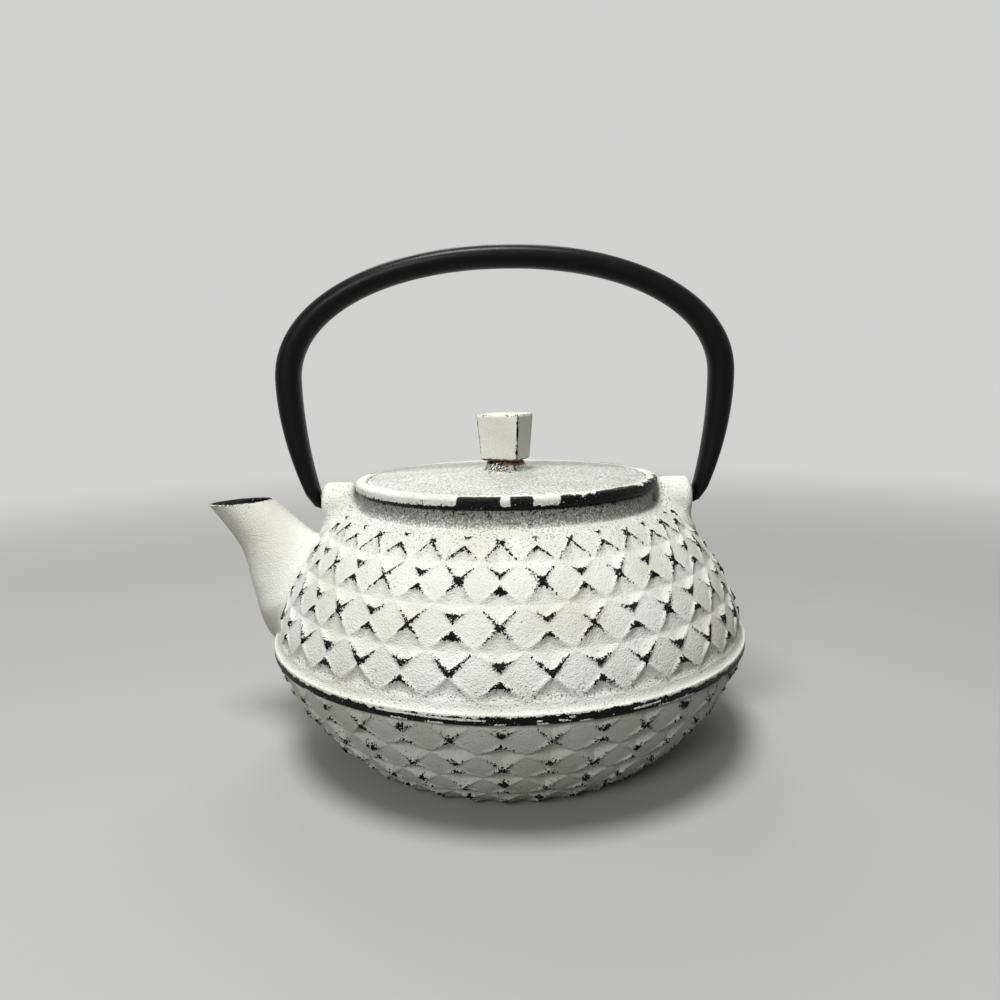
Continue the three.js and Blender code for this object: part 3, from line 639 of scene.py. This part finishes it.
def pot_shell(skin):
    """The pot's outside with its relief, and its black inside."""
    angle = FRONT_COLUMN + circle(COLUMNS * STEPS_PER_COLUMN)
    up_at = np.arange(SHOULDER[2][-1] - 1.2, 2.6, -RING_STEP)[:, None]
    down_at = np.arange(1.0, BOWL[2][-1] - 1.3, RING_STEP)[:, None]
    up, up_out = walk(SHOULDER, up_at[:, 0])
    down, down_out = walk(BOWL, down_at[:, 0])
    upper, upper_wear, upper_crest_shade = relief(angle[None, :], up_at, "upper")
    lower, lower_wear, lower_crest_shade = relief(angle[None, :], down_at, "lower")
    lower = np.where(lower < 0, LOWER_DISH_SCALE, LOWER_CREST_SCALE) * lower
    # The relief stops short of the spout's root and the lugs
    upper_wall = around(up, angle)
    lower_wall = around(down, angle)
    clear_up = smooth(0.8, 3.4, from_spout(upper_wall)) * smooth(2.0, 4.4, from_lugs(upper_wall))
    clear_down = smooth(0.8, 3.4, from_spout(lower_wall))
    upper_wall = upper_wall + around(up_out, angle) * (upper * clear_up)[..., None]
    lower_wall = lower_wall + around(down_out, angle) * (lower * clear_down)[..., None]
    collar = collar_profile(up[0])
    rim = flange_profile(up[-1], down[0])
    foot = foot_profile(down[-1])
    rings = np.concatenate([
        around(collar, angle), upper_wall, around(rim, angle), lower_wall, around(foot, angle)])
    # Painted shadow of the lid: the collar's grey speckle and black specks rise towards its top, under the
    # lid's overhang. The speckle below that is the enamel's own.
    high = smooth(COLLAR_FOOT, COLLAR_TOP, collar[:, 1:2])
    pitted = 0.19 * (1 - smooth(2, 10, up_at))
    black = [
        0.1 + 0.3 * high,
        np.maximum(np.where(clear_up > 0.6, upper_wear, -1), pitted),
        flange_wear(rim, angle),
        np.where(clear_down > 0.6, lower_wear, -1),
        np.full((len(foot), 1), 0.62),
    ]
    near_collar = 0.33 * smooth(0.25, 1, up_at / up_at.max()) ** 3
    near_rim = 0.36 * (1 - smooth(2, 9, up_at))
    grey = [
        0.56 + 0.36 * high,
        # The crests' share of the grey in these rows is painted shade at their feet.
        near_collar + near_rim + 0.6 * upper_crest_shade,
        np.full((len(rim), 1), 0.2),
        0.08 + lower_crest_shade,
        np.full((len(foot), 1), 0.35),
    ]
    row = np.ones(len(angle))
    skin.sheet(rings, last=(0, 0, UNDERSIDE),
               drop=over_bore(rings, 1.0, 3.2, FLANGE_TOP, COLLAR_FOOT),
               black=np.concatenate([block * row for block in black]),
               grey=np.concatenate([block * row for block in grey]))
    hollow = around(hollow_profile(), angle[::4])
    skin.sheet(hollow, first=(0, 0, POT_FLOOR), drop=over_bore(hollow, 1.04, WALL, 42, 64), black=1.0)


# The bail


def bail_edges():
    """The bail's outer and inner edge and half its width, from its left end to its right."""
    t = np.concatenate([np.linspace(0, ARCH_SHARE, 70), np.linspace(ARCH_SHARE, 1, 50)[1:]])
    a = (1 - np.minimum(1, t / ARCH_SHARE)) * math.pi / 2
    across = np.cos(a) ** BAIL_POWER
    rise = np.sin(a) ** BAIL_POWER
    outer = np.stack([BAIL_SPAN * across, BAIL_BEND + (BAIL_TOP - BAIL_BEND) * rise], -1)
    inner = np.stack([(BAIL_SPAN - BAIL_SIDE_THICK) * across,
                      BAIL_BEND + (BAIL_TOP - BAIL_CROWN_THICK - BAIL_BEND) * rise], -1)
    wide = np.full(len(t), BAIL_HALF_WIDTH)
    # The legs lean in towards their pegs and have round ends
    leg = t > ARCH_SHARE
    tip = PIVOT - BAIL_END_DROP
    z = BAIL_BEND + (tip - BAIL_BEND) * (t[leg] - ARCH_SHARE) / (1 - ARCH_SHARE)
    drop = np.minimum(1, (BAIL_BEND - z) / (BAIL_BEND - PIVOT))
    in_x = BAIL_SPAN - BAIL_SIDE_THICK + (BAIL_END - BAIL_SPAN + BAIL_SIDE_THICK) * drop**2
    out_x = BAIL_SPAN + (BAIL_END + BAIL_END_THICK - BAIL_SPAN) * drop**1.95
    below = np.maximum(0, PIVOT + BAIL_END_DROP - z) / 5.6
    rounding = np.sqrt(np.clip(1 - below**2, 0.02, 1))
    outer[leg] = np.stack([in_x + (out_x - in_x) * rounding, z], -1)
    inner[leg] = np.stack([in_x, z], -1)
    wide[leg] = (BAIL_HALF_WIDTH + (BAIL_END_HALF_WIDTH - BAIL_HALF_WIDTH) * drop) * rounding
    outer = np.concatenate([outer[::-1] * (-1, 1), outer[1:]])
    inner = np.concatenate([inner[::-1] * (-1, 1), inner[1:]])
    return outer, inner, np.concatenate([wide[::-1], wide[1:]])


def bail(skin):
    """The bail: a bar bent to an arch, with a round peg at the inside of each end."""
    outer, inner, wide = bail_edges()
    side = circle(36)
    around_bar = np.sign(np.cos(side)) * np.abs(np.cos(side)) ** 0.86
    across_bar = np.sign(np.sin(side)) * np.abs(np.sin(side)) ** 0.86
    middle = (outer + inner) / 2
    half = (outer - inner) / 2
    plane = middle[:, None] + half[:, None] * around_bar[None, :, None]
    rings = np.stack([plane[..., 0], wide[:, None] * across_bar, plane[..., 1]], -1)
    skin.sheet(rings, first=rings[0].mean(0), last=rings[-1].mean(0))
    turn = circle(32)
    x = np.array([PEG_START, PEG_START + 0.28, PEG_END])
    r = np.array([PEG_RADIUS - 0.35, PEG_RADIUS, PEG_RADIUS])[:, None]
    for s in (-1, 1):
        peg = np.stack([(s * x)[:, None] + 0 * turn, r * np.cos(turn), PIVOT + s * r * np.sin(turn)], -1)
        skin.sheet(peg[::-1], first=(s * x[-1], 0, PIVOT), last=(s * x[0], 0, PIVOT))


# The basket


def sleeve(skin):
    """The basket's gauze wall, which reaches into its rim and its hoop."""
    z = np.linspace(GAUZE_TOP, GAUZE_FOOT, 30)
    profile = [(GAUZE_OUT, h) for h in z] + [(GAUZE_IN, h) for h in z[::-1]]
    skin.sheet(around(profile, circle(240)), wrap=True)


def sieve(skin):
    """The basket's gauze floor, dished a little, whose edge is held in the hoop."""
    r = np.linspace(SIEVE_RADIUS, 1.5, 26)
    low = SIEVE_HEIGHT - SIEVE_DISH * (1 - (r / SIEVE_RADIUS) ** 2)
    rings = around([*zip(r[::-1], low[::-1] + SIEVE_THICK), *zip(r, low)], circle(160))
    middle = SIEVE_HEIGHT - SIEVE_DISH
    skin.sheet(rings, first=(0, 0, middle + SIEVE_THICK), last=(0, 0, middle))


# The lid


def lid_profile():
    """From under the lid over its rim and groove, up its low dome to the neck."""
    neck = np.concatenate([
        bend((NECK_FOOT, 87.22), (7.1, 87.4), (6.6, 88.4), 8),
        bend((6.5, 88.8), (6.1, 90.0), (5.85, 90.45), 5)[1:],
        [(5.5, NECK_TOP - 0.02), (2.0, NECK_TOP)]])
    edge = GROOVE - 1.1
    dome_r = np.linspace(edge, NECK_FOOT, 30)
    dome_rise = DOME_RISE * np.sin((edge - dome_r) / (edge - NECK_FOOT) * math.pi / 2)
    foot = LID_ROUND_FOOT
    top = LID_ROUND_TOP
    flat_start = LID - top - 0.2
    return np.concatenate([
        [(2.0, LID_HOLLOW), (20, LID_HOLLOW), (31.7, LID_HOLLOW)],
        [(33.4, LID_FOOT), (40, LID_FOOT), (45.5, LID_FOOT)],
        arc((LID - foot, LID_FOOT + foot), foot, -90, 0, 9),
        arc((LID - top, LID_TOP - top), top, 0, 90, 12),
        [(r, LID_TOP) for r in np.linspace(flat_start, GROOVE + 0.95, 5)],
        bend((GROOVE + 0.75, LID_TOP), (GROOVE + 0.35, LID_TOP - 0.05), (GROOVE + 0.2, LID_TOP - 0.42), 5),
        bend((GROOVE, LID_TOP - 0.5), (GROOVE - 0.4, LID_TOP - 0.5), (GROOVE - 0.9, LID_TOP + 0.08), 6),
        np.stack([dome_r, LID_TOP + 0.1 + dome_rise], -1),
        neck[1:]])


def span(azimuth, low, high, soft):
    """1 between two azimuths, with soft ends."""
    return smooth(low - soft, low + soft, azimuth) * (1 - smooth(high - soft, high + soft, azimuth))


def lid_rim_wear(r, z, angle):
    """The iron shows along the rim's foot, and over the whole rim in a few stretches."""
    azimuth = from_front(angle)
    uneven = 0.45 * ripple(angle, 46, 11) + 0.35 * ripple(angle, 130, 12) + 0.2 * ripple(angle, 240, 13)
    bare = np.clip(span(azimuth, -16, -1.9, 0.35) + span(azimuth, 1.1, 8.4, 0.35), 0, 1)
    chipped = span(azimuth, 17.5, 84, 0.6) * (0.6 + 0.55 * smooth(20, 48, azimuth))
    back_right = span(azimuth, 88, 180, 1) * smooth(0.45, 0.6, ripple(angle, 26, 15))
    back_left = (1 - smooth(-95, -92, azimuth)) * smooth(0.5, 0.62, ripple(angle, 30, 16))
    # How far up and over the rim the iron shows, along the profile from the rim's foot
    over = np.where(z < LID_FOOT + 0.02, 0, z - LID_FOOT + np.maximum(LID - LID_ROUND_TOP - r, 0))
    limit = 0.7 + 0.3 * uneven + bare * 3.3 + chipped * (0.9 + 4.6 * uneven)
    limit = limit + (back_right + back_left) * (1 + 2.4 * uneven)
    on_rim = (r > GROOVE + 0.9) & (r > 44)
    return np.where(on_rim, np.clip(0.5 + (limit - over) * 1.3, 0, 1), 0.0)


def lid(skin):
    """The lid's plate, with its rim, groove, low dome and neck."""
    angle = circle(480)
    azimuth = from_front(angle)
    profile = lid_profile()[::-1]
    r = profile[:, :1]
    z = profile[:, 1:]
    black = lid_rim_wear(r, z, angle)
    in_groove = np.exp(-(((r - GROOVE - 0.05) / 0.34) ** 2)) * (z > LID_TOP - 0.6) * (z < LID_TOP + 0.2)
    black = np.maximum(black, in_groove * (0.42 + 0.5 * ripple(angle, 150, 17)))
    neck_side = smooth(-120, -20, azimuth) * (1 - smooth(0, 60, azimuth))
    black = np.maximum(black, (z > 87.6) * np.clip(0.16 + 0.3 * neck_side, 0, 1) * 1.1)
    black = np.maximum(black, (z > 90.1) * 0.7)
    black = np.where((z < LID_FOOT + 0.05) | (r < 3), 0.9, black)
    top = (r < GROOVE - 0.6) & (z > LID_TOP)
    black = np.where(top & (z < 87.6), np.maximum(black, 0.17), black)
    # The lid top's grey speckle is thicker on the right and thinner on the left. That side-to-side change
    # is painted light and shade.
    grey = np.where(top, 0.52 + 0.05 * np.cos(angle), 0.16)
    rust_side = smooth(-30, 20, azimuth) * (1 - smooth(70, 130, azimuth))
    rust = (z > 88.6) * rust_side * smooth(88.4, 90.3, z)
    skin.sheet(around(profile, angle), wrap=True, black=black, grey=grey, rust=rust)


def drill(piece, place, radius, depth, tilt=0.0):
    """Cuts a round hole into a piece. It stands upright, or is tilted about the Y axis."""
    bpy.ops.mesh.primitive_cylinder_add(vertices=40, radius=radius * MM, depth=depth * MM,
                                        location=[v * MM for v in place], rotation=(0, tilt, 0))
    tool = bpy.context.object
    cut = piece.modifiers.new("hole", "BOOLEAN")
    cut.operation = "DIFFERENCE"
    cut.solver = "EXACT"
    cut.object = tool
    bpy.context.view_layer.update()
    graph = bpy.context.evaluated_depsgraph_get()
    made = bpy.data.meshes.new_from_object(piece.evaluated_get(graph), depsgraph=graph,
                                           preserve_all_data_layers=True)
    piece.modifiers.clear()
    piece.data = made
    bpy.data.objects.remove(tool)


# The knob


def knob_section():
    """Points round a square: the way to their corner, the way out from it, and how far along a
    side they are from the nearer corner."""
    points = []
    for k in range(4):
        mid = math.radians(45 + 90 * k)
        after = mid + math.pi / 2
        corner = (np.sign(math.cos(mid)), np.sign(math.sin(mid)))
        following = (np.sign(math.cos(after)), np.sign(math.sin(after)))
        for a in np.radians(np.linspace(-45, 45, CORNER_POINTS)) + mid:
            points.append((*corner, math.cos(a), math.sin(a), 0.0))
        out = mid + math.pi / 4
        for share in np.linspace(0, 1, SIDE_POINTS + 2)[1:-1]:
            x = corner[0] + (following[0] - corner[0]) * share
            y = corner[1] + (following[1] - corner[1]) * share
            points.append((x, y, math.cos(out), math.sin(out), min(share, 1 - share)))
    return np.array(points)


def knob_rings(section):
    """The knob's rings from its top down, wider at the top, with a round foot and top edge."""
    foot_turn = np.radians(np.linspace(0, 90, 7))
    top_turn = np.radians(np.linspace(0, 90, 8))
    heights = np.concatenate([
        KNOB_FOOT + KNOB_FOOT_SOFT * (1 - np.cos(foot_turn)),
        np.linspace(KNOB_FOOT + KNOB_FOOT_SOFT, KNOB_TOP - KNOB_TOP_SOFT, 22)[1:-1],
        KNOB_TOP - KNOB_TOP_SOFT * (1 - np.sin(top_turn)),
        [KNOB_TOP, KNOB_TOP]])
    insets = np.concatenate([
        KNOB_FOOT_SOFT * (1 - np.sin(foot_turn)),
        np.zeros(20),
        KNOB_TOP_SOFT * (1 - np.cos(top_turn)),
        [1.6, 3.0]])
    share = (heights - KNOB_FOOT) / (KNOB_TOP - KNOB_FOOT)
    half = KNOB_FOOT_HALF + (KNOB_TOP_HALF - KNOB_FOOT_HALF) * share - insets
    flat = (half - KNOB_CORNER)[:, None]
    out = KNOB_CORNER + KNOB_BULGE * np.sin(np.clip(section[:, 4], 0, 0.5) * math.pi)
    x = section[:, 0] * flat + section[:, 2] * out
    y = section[:, 1] * flat + section[:, 3] * out
    c = math.cos(KNOB_TURN)
    s = math.sin(KNOB_TURN)
    return np.stack([x * c - y * s, x * s + y * c, heights[:, None] + 0 * x], -1)[::-1]


def knob(skin):
    """The knob: a four-sided post with softened edges, worn along its corners, foot and top."""
    section = knob_section()
    rings = knob_rings(section)
    height = rings[..., 2]
    index = np.arange(len(section))
    per_side = CORNER_POINTS + SIDE_POINTS
    turns = (index - CORNER_POINTS // 2) / per_side
    from_corner = np.abs(turns - np.round(turns)) * per_side
    jitter_at = np.linspace(KNOB_FOOT, KNOB_TOP, 24)
    jitter = np.interp(height, jitter_at, chance(np.arange(24), 5) * 1.6 - 0.8)
    # The left corner is worn less than the others
    left = np.abs(index - 2 * per_side - CORNER_POINTS // 2) < per_side / 2
    strength = np.where(left, 0.52, 0.86)
    upright = np.clip(1.1 - np.abs(from_corner - 0.6 * jitter) * 0.26, 0, 1) * strength
    low = smooth(KNOB_FOOT + 1.2, KNOB_FOOT + 0.2, height)
    high = np.exp(-(((height - KNOB_TOP + 0.35) / 0.35) ** 2)) * 0.36
    black = np.maximum(np.maximum(upright, low * 0.8), high)
    black[:2] = 0.03
    skin.sheet(rings, first=(0, 0, KNOB_TOP), last=(0, 0, KNOB_FOOT), black=black,
               rust=low * 0.8, grey=0.02)


# Materials


def light_value(shown):
    """The linear value of a channel that a picture shows as 0 to 255."""
    v = shown / 255
    return v / 12.92 if v <= 0.04045 else ((v + 0.055) / 1.055) ** 2.4


def rgb(r, g, b):
    """A colour written in the values that a picture shows."""
    return (light_value(r), light_value(g), light_value(b), 1)


class Finish:
    """A material built node by node."""

    def __init__(self, name, roughness, metallic=0.0, color=None):
        self.material = bpy.data.materials.new(name)
        self.material.use_nodes = True
        self.tree = self.material.node_tree
        self.shader = self.tree.nodes["Principled BSDF"]
        self.shader.inputs["Roughness"].default_value = roughness
        self.shader.inputs["Metallic"].default_value = metallic
        if color:
            self.shader.inputs["Base Color"].default_value = color
        self.place = self.node("ShaderNodeTexCoord").outputs["Object"]

    def node(self, kind, settings=(), **inputs):
        """A node with settings and inputs. An input is named, or numbered as i0, i1 and so on."""
        made = self.tree.nodes.new(kind)
        for key, value in dict(settings).items():
            setattr(made, key, value)
        for key, value in inputs.items():
            numbered = key[0] == "i" and key[1:].isdigit()
            self.put(made.inputs[int(key[1:]) if numbered else key], value)
        return made

    def put(self, socket, value):
        if isinstance(value, bpy.types.NodeSocket):
            self.tree.links.new(value, socket)
        else:
            socket.default_value = value

    def noise(self, scale, detail, roughness, place=None):
        made = self.node("ShaderNodeTexNoise", Vector=place or self.place, Scale=scale, Detail=detail,
                         Roughness=roughness)
        return made.outputs["Fac"]

    def value(self, name):
        return self.node("ShaderNodeAttribute", {"attribute_name": name}).outputs["Fac"]

    def maths(self, kind, a, b=0.0, c=0.0):
        made = self.node("ShaderNodeMath", {"operation": kind}, i0=a, i1=b)
        if kind == "MULTIPLY_ADD":
            self.put(made.inputs[2], c)
        return made.outputs[0]

    def rough(self, value, noise, share):
        """A value made uneven by a noise."""
        return self.maths("MULTIPLY_ADD", self.maths("SUBTRACT", noise, 0.5), share, value)

    def step(self, value, low, high, to_low=0.0, to_high=1.0):
        made = self.node("ShaderNodeMapRange", {"interpolation_type": "SMOOTHSTEP"}, i0=value, i1=low,
                         i2=high, i3=to_low, i4=to_high)
        return made.outputs[0]

    def mix(self, share, a, b):
        made = self.node("ShaderNodeMix", {"data_type": "RGBA"}, i0=share, i6=a, i7=b)
        return made.outputs[2]

    def bump(self, height, strength, depth):
        made = self.node("ShaderNodeBump", Height=height, Strength=strength, Distance=depth * MM)
        return made.outputs["Normal"]


def enamel(name, white, cream, roughness, grain=1.0):
    """Enamel sprayed over cast iron: sandy, speckled, and worn to black iron where black is high."""
    f = Finish(name, roughness)
    coarse = f.noise(900, 3.0, 0.6)
    fine = f.noise(2100, 2.0, 0.6)
    salt = f.noise(1900, 1.5, 0.5)
    cloud = f.noise(55, 3.0, 0.55)
    grains = f.noise(2500, 2.5, 0.6)
    black = f.rough(f.rough(f.value("black"), coarse, 1.3), fine, 1.9)
    black = f.step(black, 0.5, 0.58)
    # Grey speckles from the grey value. Where that value rises as painted shade, under the lid, at the
    # crests' feet, by the lugs' inner faces and on the lid top's right, the speckles thicken and darken
    # the enamel.
    speckle_and_shade = f.rough(f.rough(f.value("grey"), salt, 2.2), coarse, 0.5)
    speckle_and_shade = f.step(speckle_and_shade, 0.44, 0.66)
    rusty = f.step(f.rough(f.value("rust"), coarse, 1.2), 0.45, 0.7)
    base = f.mix(f.step(cloud, 0.35, 0.7), white, cream)
    base = f.mix(f.step(grains, 0.42, 0.2, 0, 0.22), base, rgb(150, 150, 142))
    base = f.mix(f.maths("MULTIPLY", speckle_and_shade, 0.62), base, rgb(96, 99, 98))
    iron = f.mix(f.step(fine, 0.45, 0.75), rgb(2, 2, 3), rgb(9, 9, 9))
    base = f.mix(black, base, iron)
    rust = f.mix(fine, rgb(88, 64, 44), rgb(152, 120, 86))
    base = f.mix(f.maths("MULTIPLY", rusty, 0.85), base, rust)
    f.put(f.shader.inputs["Base Color"], base)
    gloss = f.node("ShaderNodeMix", {"data_type": "FLOAT"}, i0=black, i2=roughness, i3=0.42)
    f.put(f.shader.inputs["Roughness"], gloss.outputs[0])
    sand = f.node("ShaderNodeTexVoronoi", {"feature": "SMOOTH_F1"}, Vector=f.place, Scale=2100.0,
                  Smoothness=0.5, Randomness=1.0).outputs["Distance"]
    height = f.maths("MULTIPLY_ADD", grains, 0.7, f.maths("MULTIPLY", fine, 0.6))
    height = f.maths("MULTIPLY_ADD", sand, -0.3, height)
    height = f.maths("MULTIPLY_ADD", f.noise(1100, 2.0, 0.5), 0.45, height)
    height = f.maths("MULTIPLY_ADD", black, -0.55, height)
    f.put(f.shader.inputs["Normal"], f.bump(height, 0.95 * grain, 0.36))
    f.put(f.shader.inputs["Specular IOR Level"], 0.12)
    return f.material


def satin_iron():
    f = Finish("satin_black_iron", 0.34)
    pores = f.noise(1700, 3.0, 0.6)
    patches = f.noise(90, 3.0, 0.6)
    f.put(f.shader.inputs["Base Color"], f.mix(patches, rgb(3, 3, 4), rgb(10, 10, 11)))
    f.put(f.shader.inputs["Specular IOR Level"], 0.14)
    f.put(f.shader.inputs["Roughness"], f.step(patches, 0.3, 0.7, 0.28, 0.4))
    f.put(f.shader.inputs["Normal"], f.bump(pores, 0.25, 0.08))
    return f.material


def brushed_steel():
    f = Finish("brushed_steel", 0.3, 1.0)
    stretched = f.node("ShaderNodeVectorMath", {"operation": "MULTIPLY"}, i0=f.place, i1=(1, 1, 14))
    lines = f.noise(700, 3.0, 0.6, place=stretched.outputs[0])
    f.put(f.shader.inputs["Base Color"], f.mix(lines, rgb(168, 170, 172), rgb(206, 208, 209)))
    f.put(f.shader.inputs["Roughness"], f.step(lines, 0.3, 0.7, 0.22, 0.4))
    f.put(f.shader.inputs["Normal"], f.bump(lines, 0.2, 0.05))
    return f.material


def gauze(name, around_axis):
    """Woven steel gauze, whose holes are drawn dark. It runs round the axis, or lies flat."""
    f = Finish(name, 0.35, 1.0)
    x, y, z = f.node("ShaderNodeSeparateXYZ", Vector=f.place).outputs
    per_metre = math.pi / (WEAVE_PITCH * MM)
    if around_axis:
        per_turn = round(WEAVE_RADIUS / WEAVE_PITCH * math.pi)
        a = f.maths("MULTIPLY", f.maths("ARCTAN2", y, x), per_turn)
        b = f.maths("MULTIPLY", z, per_metre)
    else:
        a = f.maths("MULTIPLY", x, per_metre)
        b = f.maths("MULTIPLY", y, per_metre)
    warp = f.maths("ABSOLUTE", f.maths("SINE", a))
    weft = f.maths("ABSOLUTE", f.maths("SINE", b))
    wire = f.maths("SUBTRACT", 1.0, f.maths("MULTIPLY", warp, weft))
    solid = f.step(wire, 0.3, 0.5)
    f.put(f.shader.inputs["Base Color"], f.mix(solid, rgb(40, 40, 40), rgb(188, 190, 192)))
    f.put(f.shader.inputs["Roughness"], f.step(solid, 0.0, 1.0, 0.8, 0.32))
    f.put(f.shader.inputs["Normal"], f.bump(wire, 0.6, 0.12))
    return f.material


# The pieces around the frame

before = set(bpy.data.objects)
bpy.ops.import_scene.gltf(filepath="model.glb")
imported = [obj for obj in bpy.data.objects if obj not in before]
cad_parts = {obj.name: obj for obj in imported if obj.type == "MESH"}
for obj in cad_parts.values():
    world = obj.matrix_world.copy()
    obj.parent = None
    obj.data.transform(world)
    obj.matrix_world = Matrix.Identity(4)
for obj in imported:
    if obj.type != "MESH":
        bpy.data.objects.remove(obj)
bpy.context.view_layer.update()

pot_enamel = enamel("white_enamel", rgb(225, 226, 221), rgb(213, 213, 203), 0.56)
spout_enamel = enamel("spout_enamel", rgb(226, 227, 220), rgb(215, 214, 202), 0.5, 0.8)
# The knob's enamel is a lighter copy of the pot's. This is painted light, for the knob's brighter faces.
knob_enamel_painted_brighter = enamel("knob_enamel_painted_brighter", rgb(229, 230, 220), rgb(212, 213, 200), 0.46, 0.6)
black_iron = satin_iron()
steel = brushed_steel()
wall_gauze = gauze("steel_gauze_wall", True)
floor_gauze = gauze("steel_gauze_floor", False)


def dress(build, name, body, material, replaces, sharp):
    """A piece whose skin is made by a function."""
    skin = Skin()
    build(skin)
    return skin.make(name, body, material, replaces, sharp)


dress(pot_shell, "pot_shell", "pot", pot_enamel, ("pot_bowl", "pot_shoulder"), 50)
dress(spout, "spout", "pot", spout_enamel, ("pot_spout",), 60)
lugs_piece = dress(both_lugs, "lugs", "pot", spout_enamel, (), 60)
dress(bail, "bail", "handle", black_iron, ("bail_handle",), 60)
lid_piece = dress(lid, "lid", "lid", pot_enamel, ("lid_plate",), 50)
dress(knob, "knob", "lid", knob_enamel_painted_brighter, ("lid_knob",), 50)
dress(sleeve, "basket_sleeve", "basket", wall_gauze, ("basket_wall",), 40)
dress(sieve, "basket_floor", "basket", floor_gauze, ("basket_sieve",), 40)

for side in (-1, 1):
    drill(lugs_piece, (side * LUG_HOLE_AT, 0, PIVOT), LUG_HOLE, LUG_HOLE_DEPTH, math.pi / 2)
vent_place = (VENT_AT * math.cos(VENT_TURN), VENT_AT * math.sin(VENT_TURN), VENT_HEIGHT)
drill(lid_piece, vent_place, VENT_RADIUS, VENT_DEPTH)

# CAD solids that keep their own shape
KEPT_SOLIDS = {
    "lid_skirt": pot_enamel,
    "knob_screw": steel,
    "knob_washer": steel,
    "basket_rim": steel,
    "basket_hoop": steel,
}
for node, finish in KEPT_SOLIDS.items():
    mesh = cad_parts[node].data
    mesh.materials.clear()
    mesh.materials.append(finish)
    mesh.polygons.foreach_set("use_smooth", np.ones(len(mesh.polygons), bool))
    mesh.set_sharp_from_angle(angle=math.radians(35))

# Floor, lights and camera, in metres

BACKDROP = (0.64, 0.64, 0.635, 1)
FLOOR_SEEN = (0.4, 0.4, 0.395, 1)
FLOOR_BOUNCE = (0.13, 0.13, 0.128, 1)
SURROUND_STRENGTH = 0.13


def seen_and_lit(tree, lit, seen):
    """Shows one shader to the camera and in reflections, and gives light by another."""
    path = tree.nodes.new("ShaderNodeLightPath")
    mix = tree.nodes.new("ShaderNodeMixShader")
    either = tree.nodes.new("ShaderNodeMath")
    either.operation = "MAXIMUM"
    tree.links.new(path.outputs["Is Camera Ray"], either.inputs[0])
    tree.links.new(path.outputs["Is Glossy Ray"], either.inputs[1])
    tree.links.new(either.outputs[0], mix.inputs[0])
    tree.links.new(lit, mix.inputs[1])
    tree.links.new(seen, mix.inputs[2])
    return mix.outputs[0]


def floor_material():
    """A matt floor that turns into the backdrop far from the pot."""
    f = Finish("floor", 0.8, color=FLOOR_SEEN)
    bounce = f.node("ShaderNodeBsdfDiffuse", Color=FLOOR_BOUNCE)
    away = f.node("ShaderNodeVectorMath", {"operation": "LENGTH"}, i0=f.place).outputs["Value"]
    glow = f.node("ShaderNodeEmission", Color=BACKDROP)
    faded = f.node("ShaderNodeMixShader", i0=f.step(away, 0.22, 0.8), i1=f.shader.outputs[0],
                   i2=glow.outputs[0])
    surface = seen_and_lit(f.tree, bounce.outputs[0], faded.outputs[0])
    f.put(f.tree.nodes["Material Output"].inputs["Surface"], surface)
    return f.material


bpy.ops.mesh.primitive_plane_add(size=8, location=(0, 0, 0))
floor = bpy.context.object
floor.name = "floor"
floor.data.materials.append(floor_material())


def lamp(name, place, aim, size, power):
    """A round soft lamp that shines towards a point."""
    data = bpy.data.lights.new(name, "AREA")
    data.shape = "DISK"
    data.size = size
    data.energy = power
    lamp_object = bpy.data.objects.new(name, data)
    bpy.context.scene.collection.objects.link(lamp_object)
    lamp_object.location = place
    way = Vector(aim) - Vector(place)
    lamp_object.rotation_euler = way.to_track_quat("-Z", "Y").to_euler()


lamp("key", (-0.1, -0.3, 0.95), (0, 0, 0.05), 0.32, 8.9)
lamp("fill", (-0.3, -0.8, 0.55), (0, 0, 0.05), 0.3, 3.2)
lamp("back", (-0.1, 0.7, 0.8), (0, 0, 0.08), 0.6, 2.5)

world = bpy.data.worlds.new("surround")
bpy.context.scene.world = world
world.use_nodes = True
dim = world.node_tree.nodes["Background"]
dim.inputs["Color"].default_value = (1, 1, 1, 1)
dim.inputs["Strength"].default_value = SURROUND_STRENGTH
pale = world.node_tree.nodes.new("ShaderNodeBackground")
pale.inputs["Color"].default_value = BACKDROP
sky = seen_and_lit(world.node_tree, dim.outputs[0], pale.outputs[0])
world.node_tree.links.new(sky, world.node_tree.nodes["World Output"].inputs["Surface"])

CAMERA_PLACE = (0, -0.2496006, 0.1174893)
YAW = -0.0084661
PITCH_DOWN = 0.1577387
ROLL = 0.0203633

camera_data = bpy.data.cameras.new("camera")
camera_data.lens = 28.08
camera_data.sensor_width = 36
camera_data.clip_start = 0.01
camera = bpy.data.objects.new("camera", camera_data)
bpy.context.scene.collection.objects.link(camera)
turned = Matrix.Rotation(-YAW, 3, "Z") @ Matrix.Rotation(math.pi / 2 - PITCH_DOWN, 3, "X")
turned = turned @ Matrix.Rotation(-ROLL, 3, "Z")
camera.matrix_world = Matrix.Translation(CAMERA_PLACE) @ turned.to_4x4()
bpy.context.scene.camera = camera
bpy.context.scene.view_settings.view_transform = "Standard"
